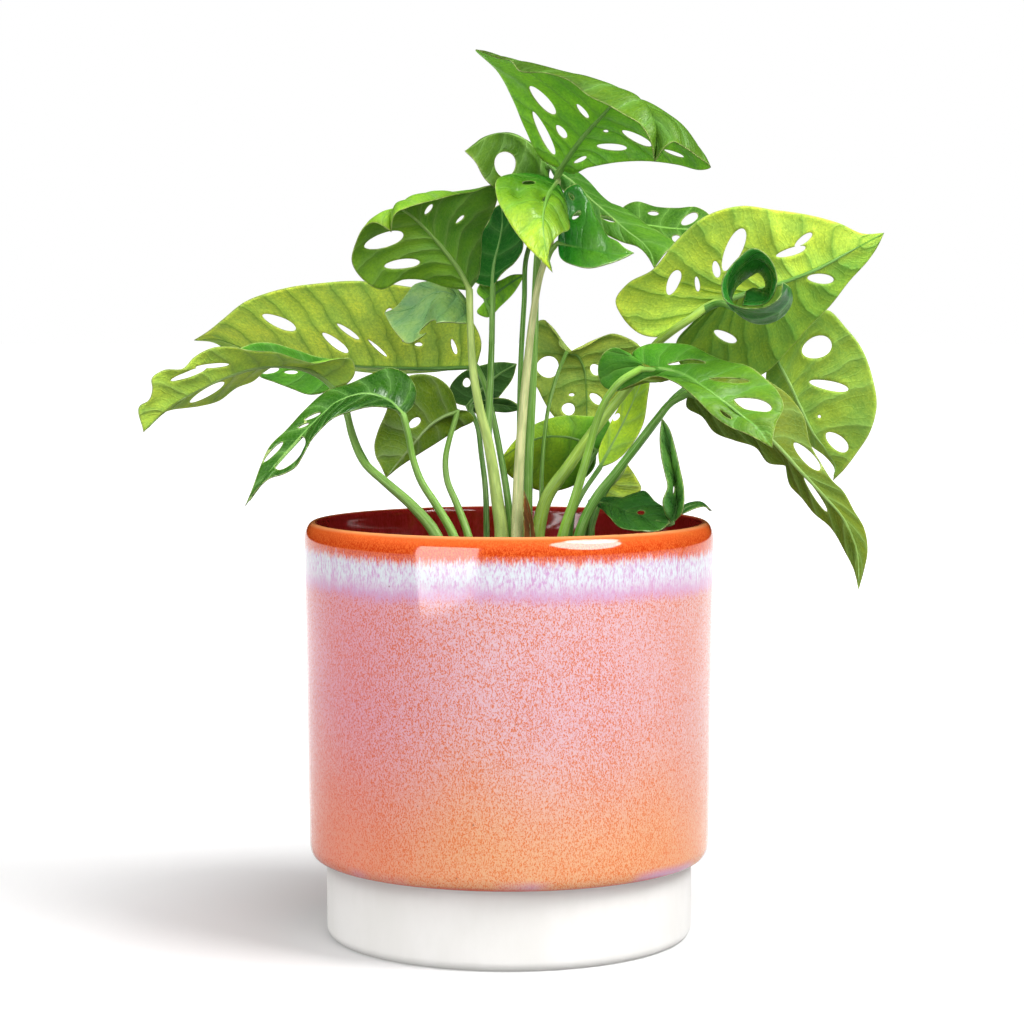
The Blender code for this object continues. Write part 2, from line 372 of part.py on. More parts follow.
        right=[(45, 193.8, -23), (41, 198, -21), (36, 201.2, -19), (32, 199, -17), (30.3, 194, -16),
               (31.3, 189, -16), (35, 186.3, -18), (41, 188, -22), (49, 191.3, -27),
               (56, 189.5, -32), (64, 183.5, -37), (69.5, 178, -39), (75, 174.3, -40),
               (81, 171.5, -41), (86, 169, -41), (90, 166.8, -40)],
        fan=1.3,
        holes=[("left", 76.8, 184, 89.6, 180, 4.4), ("left", 54, 195.2, 67, 195.4, 1.3),
               ("left", 68.3, 190.3, 82, 189.7, 1.6), ("right", 72, 179.8, 76, 177, 1.2)]),
    "small_mid": dict(
        stalk=[(12.5, 97, 10), (11.8, 125, 10), (11, 150, 10), (12, 170, 10), (13.7, 182, 11),
               (16.5, 192, 12), (19.5, 199.5, 14)], radii=(1.0, 0.8),
        rib=[(19.5, 199.5, 14), (23, 198.8, 17), (25.3, 194.5, 19), (26.2, 187, 20), (26.5, 175, 20)],
        left=[(19.5, 199.5, 14), (17, 202, 14), (16.8, 205, 15), (14.5, 207, 15), (12, 210.5, 16),
              (8, 209, 17), (6, 200, 17), (6.5, 191, 17), (9.3, 187.8, 17), (11.5, 183.5, 18),
              (14, 179.3, 19), (17, 176, 20), (22, 174.5, 20), (26.5, 175, 20)],
        right=[(19.5, 199.5, 14), (22, 199.9, 14), (27, 201.7, 15), (31, 204.3, 16), (35, 205.8, 17),
               (40, 204.5, 18), (45, 201, 19), (45.5, 194, 20), (40, 187.5, 21), (35, 183, 21),
               (31.5, 179, 21), (28.5, 176, 20), (26.5, 175, 20)],
        fan=1.5,
        holes=[("left", 9.3, 194.5, 17, 194.5, 7.4), ("left", 18, 180.7, 22.4, 179.6, 4.2),
               ("left", 20.4, 185, 22.3, 185, 1.0), ("right", 28, 195.2, 31, 192, 3.4),
               ("right", 27.6, 185.3, 31.6, 182, 2.9)]),
    "low_mid": dict(
        stalk=[(19, 97, 12), (20.5, 130, 13), (23, 150, 13.5), (27, 161, 14), (30, 166, 14)],
        radii=(1.2, 1.0),
        rib=[(30, 166, 14), (22, 170, 13), (12, 170.5, 13), (3, 167, 13), (-3, 163, 13)],
        right=[(30, 166, 14), (34.5, 170.5, 13), (34.3, 176, 13), (26, 177.8, 13), (16, 177.5, 14),
               (8, 174.5, 14), (2, 169.5, 13), (-3, 163, 13)],
        left=[(30, 166, 14), (29, 160, 18), (22, 154, 21), (12, 152, 22), (4, 155, 20),
              (-1, 158.5, 16), (-3, 163, 13)],
        holes=[]),
    "upright_mid": dict(
        stalk=[(16, 97, 2), (17, 125, 2), (20, 140, 1.5), (25, 151, 2.5), (31, 160, 4)],
        radii=(1.2, 1.0),
        rib=[(31, 160, 4), (35.5, 168, 6), (40, 177, 8), (44, 186, 8), (47, 194, 6)],
        right=[(31, 160, 4), (30.5, 165, 5), (34, 174, 8), (39, 184, 9), (43, 191.5, 8), (47, 194, 6)],
        left=[(31, 160, 4), (36.5, 162.5, 3), (42.3, 168.5, 3), (45.7, 175, 4), (47.2, 184, 5),
              (47.8, 191, 6), (47, 194, 6)],
        holes=[("right", 35.6, 176.2, 37.6, 178.6, 1.8)]),
    "low_right": dict(
        stalk=[(29.5, 97, 11), (29, 125, 11), (28.7, 140, 11), (30, 150.3, 11)], radii=(1.0, 0.9),
        rib=[(30, 150.3, 11), (35.5, 154.3, 12), (38.5, 157.5, 12.5), (40.5, 161.3, 13)],
        right=[(30, 150.3, 11), (31.5, 153.5, 12), (35, 158, 13), (40.5, 161.3, 13)],
        left=[(30, 150.3, 11), (36, 149.2, 10), (42, 149.8, 10), (45.2, 152.7, 10), (43.5, 156.7, 11),
              (40.5, 161.3, 13)],
        holes=[("right", 33, 152.3, 36.4, 155, 2.3)]),
    "withered": dict(
        stalk=[(25.5, 97, -1.5), (26, 125, -2), (26.7, 140, -2), (27.8, 148.5, -2.5)],
        radii=(1.2, 1.0),
        rib=[(27.8, 148.5, -2.5), (33, 148, -8), (40, 145.3, -15), (48, 142.5, -20), (55, 141, -22)],
        left=[(27.8, 148.5, -2.5), (33, 150, -2), (42, 150, -5), (46, 152.2, -8), (50, 148.5, -12),
              (54, 145.5, -17), (55, 141, -22)],
        right=[(27.8, 148.5, -2.5), (32, 145.5, -12), (34.5, 143, -20), (38.5, 139.3, -26),
               (45, 138.3, -29), (51, 138.3, -27), (55, 141, -22)],
        holes=[("left", 43.8, 144.6, 46.4, 144.6, 1.6)]),
    "twisted": dict(
        stalk=[(50, 141.5, -21), (54, 140.5, -21), (56, 141, -20)], radii=(0.9, 0.9),
        rib=[(56, 141, -20), (57.3, 147, -19), (57, 154, -18), (55.5, 162, -17), (54, 170, -16),
             (52.2, 177, -16)],
        left=[(56, 141, -20), (53.3, 144.5, -23), (52.6, 149, -25), (54.2, 153.5, -25),
              (53.3, 158, -24), (52, 164, -22), (51.5, 171, -19), (52.2, 177, -16)],
        right=[(56, 141, -20), (59.3, 145, -23), (59.8, 152, -24), (58.3, 160, -22),
               (56.4, 168, -20), (54.6, 173.5, -18), (52.2, 177, -16)],
        holes=[("left", 56.1, 151, 56.4, 154, 0.6)]),
    "tip_over_rim": dict(
        stalk=[(53, 141, -20.5), (56, 142, -19.5), (57, 143.2, -18)], radii=(0.8, 0.7),
        rib=[(57, 143.2, -18), (60, 146.3, -16), (64, 147.6, -13), (67, 147.3, -10), (69.3, 145.3, -8)],
        left=[(57, 143.2, -18), (58.5, 146, -15), (62, 148.2, -11), (66, 148.3, -9), (69.3, 145.3, -8)],
        right=[(57, 143.2, -18), (61, 145, -18), (64.5, 146.4, -15), (67.3, 146.6, -11),
               (69.3, 145.3, -8)],
        holes=[]),
    "dry_sheath": dict(
        stalk=[(7.2, 104, -9), (7.4, 112, -9)], radii=(0.7, 0.7),
        rib=[(7.3, 110, -9), (7.3, 125, -9), (7, 138, -9), (6.2, 146, -9.5), (5.1, 152.5, -10)],
        left=[(7.3, 110, -9), (9, 118, -8), (9.3, 130, -8), (8.6, 140, -8.5), (7, 147, -9),
              (5.1, 152.5, -10)],
        right=[(7.3, 110, -9), (5.8, 118, -10), (5.2, 130, -10.5), (5, 140, -10.5), (4.8, 147, -10.5),
               (5.1, 152.5, -10)],
        holes=[]),
}

# Leaves that share a stem are one solid: node name, its leaves, its colour.
GREEN, LIGHT, DARK, OLIVE = (0.12, 0.3, 0.03), (0.32, 0.5, 0.09), (0.03, 0.14, 0.02), (0.2, 0.3, 0.05)
BROWN, DARK_BROWN, CORAL = (0.25, 0.13, 0.05), (0.05, 0.03, 0.02), (0.8, 0.3, 0.2)
GLAZE_ROUGHNESS, SOIL_ROUGHNESS, LEAF_ROUGHNESS = 0.2, 0.9, 0.4
NODES = {
    "crown_leaves": (["crown", "curl_left", "strip_right"], GREEN),
    "front_leaves": (["bright_front", "dark_right"], GREEN),
    "left_stem": (["olive", "olive_back", "small_back", "glossy_curl"], OLIVE),
    "leaf_behind_right": (["behind_right"], GREEN),
    "leaf_light_left": (["light_left"], LIGHT),
    "leaf_far_left": (["far_left", "short_left"], OLIVE),
    "leaf_slit_left": (["slit_left"], GREEN),
    "leaf_olive_low": (["olive_low"], OLIVE),
    "leaf_dark_back": (["dark_back", "dark_strip"], DARK),
    "leaf_heart_right": (["heart_right", "rolled_young"], LIGHT),
    "leaf_back_right": (["back_right"], LIGHT),
    "leaf_long_right": (["long_right"], LIGHT),
    "leaf_arch_front": (["arch_front"], GREEN),
    "leaf_small_mid": (["small_mid"], LIGHT),
    "leaf_low_mid": (["low_mid"], DARK),
    "leaf_upright_mid": (["upright_mid"], LIGHT),
    "leaf_low_right": (["low_right"], OLIVE),
    "leaf_withered": (["withered", "twisted", "tip_over_rim"], DARK),
    "dry_sheath": (["dry_sheath"], BROWN),
}


def place(points):
    """World positions in metres of hand-picked (across, up, depth) points."""
    p = np.asarray(points, float)
    depth = p[:, 2] * DEPTH_STRETCH
    scale = 1.0 + depth / EYE_DISTANCE
    across = EYE_ACROSS + (p[:, 0] - EYE_ACROSS) * scale
    up = EYE_UP + (p[:, 1] - EYE_UP) * scale
    return np.stack([across, depth, up], 1) * MM


def seen(world):
    """(across, up) in millimetres at which the eye sees positions in metres."""
    p = world / MM
    scale = 1.0 + p[..., 1] / EYE_DISTANCE
    across = EYE_ACROSS + (p[..., 0] - EYE_ACROSS) / scale
    up = EYE_UP + (p[..., 2] - EYE_UP) / scale
    return np.stack([across, up], -1)


def rail(points):
    """A smooth line through the points: dense positions, their shares of its length, length."""
    p = place(points)
    chord = np.concatenate([[0.0], np.cumsum(np.linalg.norm(np.diff(p, axis=0), axis=1))])
    slope = np.gradient(p, chord, axis=0)
    dense = []
    for i in range(len(p) - 1):
        h = chord[i + 1] - chord[i]
        x = np.linspace(0, 1, RAIL_STEPS, endpoint=False)[:, None]
        dense.append(p[i] * (1 + 2 * x) * (1 - x) ** 2 + slope[i] * h * x * (1 - x) ** 2
                     + p[i + 1] * x * x * (3 - 2 * x) + slope[i + 1] * h * x * x * (x - 1))
    dense = np.vstack(dense + [p[-1:]])
    run = np.concatenate([[0.0], np.cumsum(np.linalg.norm(np.diff(dense, axis=0), axis=1))])
    return dense, run / run[-1], run[-1]


def along(line, share):
    """Positions at the given shares of a rail's length."""
    dense, run, _ = line
    return np.stack([np.interp(share, run, dense[:, k]) for k in range(3)], -1)


def make_blade(leaf):
    """The rails of a leaf, dense and ready to be sampled."""
    gathered = leaf["rib"][0] == leaf["left"][0]
    blade = {"rib": rail(leaf["rib"]), "fan": leaf.get("fan", BASE_FAN if gathered else 1.0)}
    for side in ("left", "right"):
        blade[side] = rail(leaf[side])
        middle = leaf.get(side + "_mid")
        blade[side + "_mid"] = rail(middle) if middle else None
    blade["length"] = (blade["rib"][2] + blade["left"][2] + blade["right"][2]) / 3
    return blade


def surface(blade, side, s, t):
    """Positions at share s along the leaf and share t from the rib (0) to the margin (1).

    A parabola through the rib, the middle rail and the margin; without a middle rail the
    middle is halfway, so the half is flat across.
    """
    s = np.asarray(s, float)
    t = np.asarray(t, float)[..., None]
    rib = along(blade["rib"], s ** blade["fan"])
    margin = along(blade[side], s)
    middle = blade[side + "_mid"]
    middle = (rib + margin) / 2 if middle is None else along(middle, s)
    return rib * (1 - t) * (1 - 2 * t) + middle * 4 * t * (1 - t) + margin * t * (2 * t - 1)


def half_width(blade, side, s):
    """Distance across a half of the leaf at shares s."""
    s = np.asarray(s, float)
    rib, margin = surface(blade, side, s, s * 0), surface(blade, side, s, s * 0 + 1)
    middle = surface(blade, side, s, s * 0 + 0.5)
    return np.linalg.norm(middle - rib, axis=-1) + np.linalg.norm(margin - middle, axis=-1)


def hole_outline(blade, hole, corners):
    """A hole's corners as (s, t) on its half: an ellipse seen by the eye, traced back."""
    side, x0, z0, x1, z1, width = hole
    s, t = np.meshgrid(TRACE_ALONG, TRACE_ACROSS, indexing="ij")
    across_up = seen(surface(blade, side, s, t))
    centre = np.array([(x0 + x1) / 2, (z0 + z1) / 2])
    axis = np.array([(x1 - x0) / 2, (z1 - z0) / 2])
    normal = np.array([-axis[1], axis[0]]) / np.linalg.norm(axis) * width / 2
    home = np.argmin(((across_up - centre) ** 2).sum(-1))
    away = (np.abs(s - s.flat[home]) > HOLE_REACH[0]) | (np.abs(t - t.flat[home]) > HOLE_REACH[1])
    outline = []
    for k in range(corners):
        turn = 2 * math.pi * k / corners
        target = centre + axis * math.cos(turn) + normal * math.sin(turn)
        miss = ((across_up - target) ** 2).sum(-1) + OUT_OF_REACH * away
        spot = np.argmin(miss)
        outline.append((s.flat[spot], t.flat[spot]))
    return outline


def inside(point, loop):
    """True where the point lies inside the closed loop of (x, y) corners."""
    x, y = point
    hit = False
    for (x0, y0), (x1, y1) in zip(loop, loop[1:] + loop[:1]):
        if (y0 > y) != (y1 > y) and x < (x1 - x0) * (y - y0) / (y1 - y0) + x0:
            hit = not hit
    return hit


def nearest(point, loop):
    """Distance from the point to the nearest corner of the loop."""
    return min(math.dist(point, corner) for corner in loop)


def flat_plan(blade, leaf):
    """Corners and constraint edges of the leaf laid flat: outline, rib, holes, filling."""
    length = blade["length"] / MM
    widths = {side: half_width(blade, side, WIDTH_SHARES) / MM for side in ("left", "right")}

    def flat(side, s, t):
        w = np.interp(s, WIDTH_SHARES, widths[side])
        return (float(s * length), float(t * w * (1 if side == "left" else -1)))

    counts = {side: max(8, round(blade[side][2] / MM / MARGIN_STEP)) for side in ("left", "right")}
    outline = [flat("left", k / counts["left"], 1) for k in range(counts["left"] + 1)]
    outline += [flat("right", 1 - k / counts["right"], 1) for k in range(counts["right"] + 1)]
    outline = [p for i, p in enumerate(outline) if math.dist(p, outline[i - 1]) > SAME_POINT]
    holes = [[flat(hole[0], s, t) for s, t in hole_outline(blade, hole, HOLE_CORNERS)]
             for hole in leaf["holes"]]
    steps = max(4, round(blade["rib"][2] / MM / RIB_STEP))
    rib = [flat("left", (k / steps) ** (1 / blade["fan"]), 0) for k in range(steps + 1)]
    points, edges = [], []
    for loop in [outline] + holes:
        start = len(points)
        points += loop
        edges += [(start + k, start + (k + 1) % len(loop)) for k in range(len(loop))]
    start = len(points)
    points += rib
    edges += [(start + k, start + k + 1) for k in range(len(rib) - 1)]
    rows = max(4, round(blade["length"] / MM / FILL_STEP))
    for side in ("left", "right"):
        for t in (FILL_SHARES if blade[side + "_mid"] else FILL_SHARES[1:2]):
            for k in range(1, rows):
                spot = flat(side, (k + (0.25 if t == FILL_SHARES[1] else -0.25)) / rows, t)
                clear = all(not inside(spot, loop) and nearest(spot, loop) > FILL_FROM_HOLE for loop in holes)
                if clear and nearest(spot, outline) > FILL_FROM_MARGIN:
                    points.append(spot)
    return points, edges, outline, holes, length, widths


def blade_mesh(name, leaf):
    """A leaf blade as one thin sheet of triangles with its holes left open."""
    blade = make_blade(leaf)
    points, edges, outline, holes, length, widths = flat_plan(blade, leaf)
    corners, _, faces, _, _, _ = delaunay_2d_cdt([Vector(p) for p in points], edges, [], 0, 1e-4)
    kept = []
    for face in faces:
        middle = sum((corners[i] for i in face), Vector((0, 0))) / 3
        if inside(middle, outline) and not any(inside(middle, loop) for loop in holes):
            kept.append(face)
    used = sorted({i for face in kept for i in face})
    number = {old: new for new, old in enumerate(used)}
    spots = []
    for i in used:
        u, v = corners[i]
        side = "left" if v >= 0 else "right"
        s = min(1.0, max(0.0, u / length))
        w = max(np.interp(s, WIDTH_SHARES, widths[side]), 1e-6)
        spots.append(surface(blade, side, s, min(abs(v) / w, 1.0)))
    mesh = bpy.data.meshes.new(name)
    mesh.from_pydata([tuple(p) for p in spots], [], [[number[i] for i in face] for face in kept])
    bm = bmesh.new()
    bm.from_mesh(mesh)
    bmesh.ops.remove_doubles(bm, verts=bm.verts, dist=BLADE_WELD)
    bmesh.ops.delete(bm, geom=[v for v in bm.verts if not v.link_faces], context="VERTS")
    bmesh.ops.recalc_face_normals(bm, faces=bm.faces)
    bm.to_mesh(mesh)
    bm.free()
    return mesh


def applied(obj):
    """A plain mesh of the object with its modifiers carried out."""
    graph = bpy.context.evaluated_depsgraph_get()
    mesh = bpy.data.meshes.new_from_object(obj.evaluated_get(graph))
    bm = bmesh.new()
    bm.from_mesh(mesh)
    bmesh.ops.remove_doubles(bm, verts=bm.verts, dist=SOLID_WELD)
    bm.to_mesh(mesh)
    bm.free()
    return mesh


def add(name, data, collection):
    """A new object in the collection."""
    obj = bpy.data.objects.new(name, data)
    collection.objects.link(obj)
    return obj


def tube(name, points, radii, collection, reach=0.0):
    """A closed round tube along the points, narrowing fastest near its thicker first end.

    The first end is drawn out straight by the reach.
    """
    line = rail(points)
    count = max(3, round(line[2] / MM / STALK_STEP))
    path = along(line, np.linspace(0, 1, count + 1))
    path[0] += (path[0] - path[1]) / np.linalg.norm(path[0] - path[1]) * reach * MM
    data = bpy.data.curves.new(name, "CURVE")
    data.dimensions = "3D"
    data.bevel_depth = MM
    data.bevel_resolution = STALK_SIDES
    data.use_fill_caps = True
    spline = data.splines.new("POLY")
    spline.points.add(count)
    for k, spot in enumerate(path):
        spline.points[k].co = (*spot, 1.0)
        spline.points[k].radius = radii[1] + (radii[0] - radii[1]) * (1 - k / count) ** TAPER
    curve = add(name, data, collection)
    mesh = applied(curve)
    bpy.data.objects.remove(curve)
    return add(name, mesh, collection)


def stalk_path(leaf):
    """The stalk and a first short stretch of the rib, so stalk and blade grow together."""
    if leaf["rib"][0] != leaf["left"][0]:
        return leaf["stalk"]
    start, second = np.array(leaf["rib"][0], float), np.array(leaf["rib"][1], float)
    step = second - start
    share = min(RIB_SHARE, RIB_REACH / np.linalg.norm(step))
    return leaf["stalk"] + [tuple(start + step * share)]


def build_leaf_pieces(key, collection):
    """The blade and the stalk of one leaf as two closed solids."""
    leaf = LEAVES[key]
    blade = add(key + "_blade", blade_mesh(key, leaf), collection)
    shell = blade.modifiers.new("thickness", "SOLIDIFY")
    shell.thickness = BLADE_THICKNESS * MM
    shell.offset = 0.0
    shell.use_even_offset = False
    mesh = applied(blade)
    bpy.data.objects.remove(blade)
    path = stalk_path(leaf)
    return [add(key + "_blade", mesh, collection),
            tube(key + "_stalk", path, (leaf["radii"][0], leaf["radii"][1] * STALK_END), collection)]


def united(name, pieces, collection):
    """One solid made of the pieces by a single union."""
    group = bpy.data.collections.new(name + "_pieces")
    for piece in pieces[1:]:
        group.objects.link(piece)
    union = pieces[0].modifiers.new("union", "BOOLEAN")
    union.operation = "UNION"
    union.operand_type = "COLLECTION"
    union.collection = group
    union.solver = "MANIFOLD"
    mesh = applied(pieces[0])
    for piece in pieces:
        bpy.data.objects.remove(piece)
    bpy.data.collections.remove(group)
    return add(name, mesh, collection)


def turned(name, profile, collection):
    """A solid of revolution from (radius, height) corners in millimetres, top to bottom at +X."""
    mesh = bpy.data.meshes.new(name)
    mesh.from_pydata([(r * MM, 0, z * MM) for r, z in profile],
                     [(k, k + 1) for k in range(len(profile) - 1)], [])
    obj = add(name, mesh, collection)
    screw = obj.modifiers.new("turn", "SCREW")
    screw.axis = "Z"
    screw.steps = screw.render_steps = TURNS
    screw.use_merge_vertices = True
    screw.merge_threshold = TURN_WELD
    screw.use_smooth_shade = True
    turned_mesh = applied(obj)
    bpy.data.objects.remove(obj)
    return add(name, turned_mesh, collection)


def inner_radius(height):
    """Radius of the pot's inside at a height, following the outside's slight taper."""
    return POT_RADIUS - WALL - INSIDE_INSET - INSIDE_TAPER * (POT_HEIGHT - height) / POT_HEIGHT


def inside_profile():
    """The pot's inside from the middle of its floor up past the step of the foot."""
    well = FOOT_RADIUS - WALL
    step = FOOT_HEIGHT + STEP_RISE
    return [(0, FLOOR)] + [(well - inset, FLOOR + rise) for inset, rise in WELL_ROUNDING] + [
        (well, FOOT_HEIGHT + 1), (inner_radius(step), step)]


def build_pot(collection):
    """The turned pot: inside floor, inner wall, rounded lip, outer wall, foot."""
    neck = POT_HEIGHT - STEP_RISE
    profile = inside_profile() + [(inner_radius(neck), neck)]
    profile += [(POT_RADIUS - inset, POT_HEIGHT - drop) for inset, drop in LIP]
    profile += [(POT_RADIUS - inset, height) for inset, height in OUTER_WALL]
    profile += [(FOOT_RADIUS + UNDERCUT, FOOT_HEIGHT), (FOOT_RADIUS, FOOT_HEIGHT)]
    profile += [(FOOT_RADIUS - inset, height) for inset, height in FOOT_ROUNDING] + [(0, 0)]
    return turned("pot", profile, collection)


def build_soil(collection, cutters):
    """Potting mix filling the pot, its plain holes cut by slightly thicker stalks."""
    lining = [(max(0, r - GAP), z + GAP) for r, z in reversed(inside_profile())]
    profile = [(0, SOIL_TOP + SOIL_MOUND), (SOIL_SHOULDER[0], SOIL_TOP + SOIL_MOUND * SOIL_SHOULDER[1]),
               (inner_radius(SOIL_TOP) - GAP, SOIL_TOP)] + lining
    soil = turned("soil", profile, collection)
    tools = []
    for key, leaf in LEAVES.items():
        if leaf["stalk"][0][1] > ROOTED_BELOW:
            continue
        path = stalk_path(leaf) if key != "dry_sheath" else leaf["stalk"] + [SHEATH_TOP]
        clear = HOLE_CLEAR if key != "dry_sheath" else SHEATH_CLEAR
        radii = (leaf["radii"][0] + clear, leaf["radii"][1] * STALK_END + clear)
        tools.append(tube(key + "_hole", path, radii, cutters, HOLE_CLEAR))
    for tool in tools:
        tool.hide_render = True
        tool.display_type = "WIRE"
    cut = soil.modifiers.new("holes", "BOOLEAN")
    cut.operation = "DIFFERENCE"
    cut.operand_type = "COLLECTION"
    cut.collection = cutters
    cut.solver = "EXACT"
    mesh = applied(soil)
    bpy.data.objects.remove(soil)
    for tool in tools:
        bpy.data.objects.remove(tool)
    return add("soil", mesh, collection)


def paint(obj, name, colour, roughness):
    """The object's own plain material and smooth shading."""
    material = bpy.data.materials.new(name)
    material.use_nodes = True
    shader = material.node_tree.nodes["Principled BSDF"]
    shader.inputs["Base Color"].default_value = (*colour, 1.0)
    shader.inputs["Roughness"].default_value = roughness
    material.diffuse_color = (*colour, 1.0)
    obj.data.materials.clear()
    obj.data.materials.append(material)
    obj.data.polygons.foreach_set("use_smooth", [True] * len(obj.data.polygons))


def build():
    """Every piece of the plant and its pot."""
    for obj in list(bpy.data.objects):
        bpy.data.objects.remove(obj)
    plant = bpy.data.collections.new("monstera_adansonii_in_pot")
    cutters = bpy.data.collections.new("cutters")
    bpy.context.scene.collection.children.link(plant)
    bpy.context.scene.collection.children.link(cutters)
    paint(build_pot(plant), "glazed_ceramic", CORAL, GLAZE_ROUGHNESS)
    paint(build_soil(plant, cutters), "potting_mix", DARK_BROWN, SOIL_ROUGHNESS)
    for name, (keys, colour) in NODES.items():
        pieces = [piece for key in keys for piece in build_leaf_pieces(key, plant)]
        paint(united(name, pieces, plant), name, colour, LEAF_ROUGHNESS)


build()
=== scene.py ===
"""Monstera adansonii in a glazed pot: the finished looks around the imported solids.

Leaf picks are millimetres: (across, up, depth), where across and up are read on the
upright plane through the pot's axis as the eye sees it, and the point lies on that line of
sight, depth times DEPTH_STRETCH behind the plane.  Meshes are written in metres.
"""
import json
import math

import bpy
import numpy as np
from bpy.props import FloatProperty, FloatVectorProperty, IntProperty, PointerProperty
from mathutils import Color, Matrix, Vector
from mathutils.geometry import delaunay_2d_cdt

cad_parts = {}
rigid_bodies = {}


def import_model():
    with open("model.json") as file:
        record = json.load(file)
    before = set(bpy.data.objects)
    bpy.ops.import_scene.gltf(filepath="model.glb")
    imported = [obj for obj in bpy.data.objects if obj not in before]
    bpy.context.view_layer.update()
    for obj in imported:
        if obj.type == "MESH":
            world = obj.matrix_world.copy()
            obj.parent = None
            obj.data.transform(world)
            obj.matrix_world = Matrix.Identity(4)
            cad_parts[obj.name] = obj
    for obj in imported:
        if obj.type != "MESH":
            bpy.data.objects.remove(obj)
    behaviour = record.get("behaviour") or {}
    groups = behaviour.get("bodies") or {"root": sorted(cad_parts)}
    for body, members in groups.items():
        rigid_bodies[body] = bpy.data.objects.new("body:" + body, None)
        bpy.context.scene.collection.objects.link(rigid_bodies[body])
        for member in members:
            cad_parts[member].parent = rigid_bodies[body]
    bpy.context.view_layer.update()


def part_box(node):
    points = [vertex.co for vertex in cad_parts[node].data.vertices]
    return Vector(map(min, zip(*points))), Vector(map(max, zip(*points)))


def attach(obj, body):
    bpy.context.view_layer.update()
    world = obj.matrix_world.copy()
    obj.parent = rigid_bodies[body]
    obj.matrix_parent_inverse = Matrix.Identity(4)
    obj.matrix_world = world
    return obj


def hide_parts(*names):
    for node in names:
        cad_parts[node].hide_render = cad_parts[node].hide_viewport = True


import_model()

bl_info = {
    "name": "Monstera in a glazed pot",
    "version": (1, 0, 0),
    "blender": (4, 5, 0),
    "location": "3D View > Sidebar > Plant",
    "description": "Builds the leaves, stalks, pot and potting mix of a monstera adansonii",
    "category": "Add Mesh",
}

MM = 0.001
# The eye's place in millimetres, its tilt down in radians, how much deeper the plant is
# than its picks, the photo's side and focal length in pixels, and the sensor's width.
EYE_ACROSS = 1.0
EYE_DISTANCE = 960.0
EYE_UP = 218.5
EYE_PITCH = 0.0765
DEPTH_STRETCH = 1.35
PHOTO_SIDE = 1024
PHOTO_FOCUS = 2814.0
SENSOR = 36.0

POT_RADIUS, _, POT_HEIGHT = np.array(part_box("pot")[1]) / MM
SOIL_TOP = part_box("soil")[1].z / MM
# The bare foot's height and radius, and the thickness of wall and floor, in millimetres.
FOOT_HEIGHT = 27.4
FOOT_RADIUS = 62.8
WALL = 5.0
FLOOR = 8.0

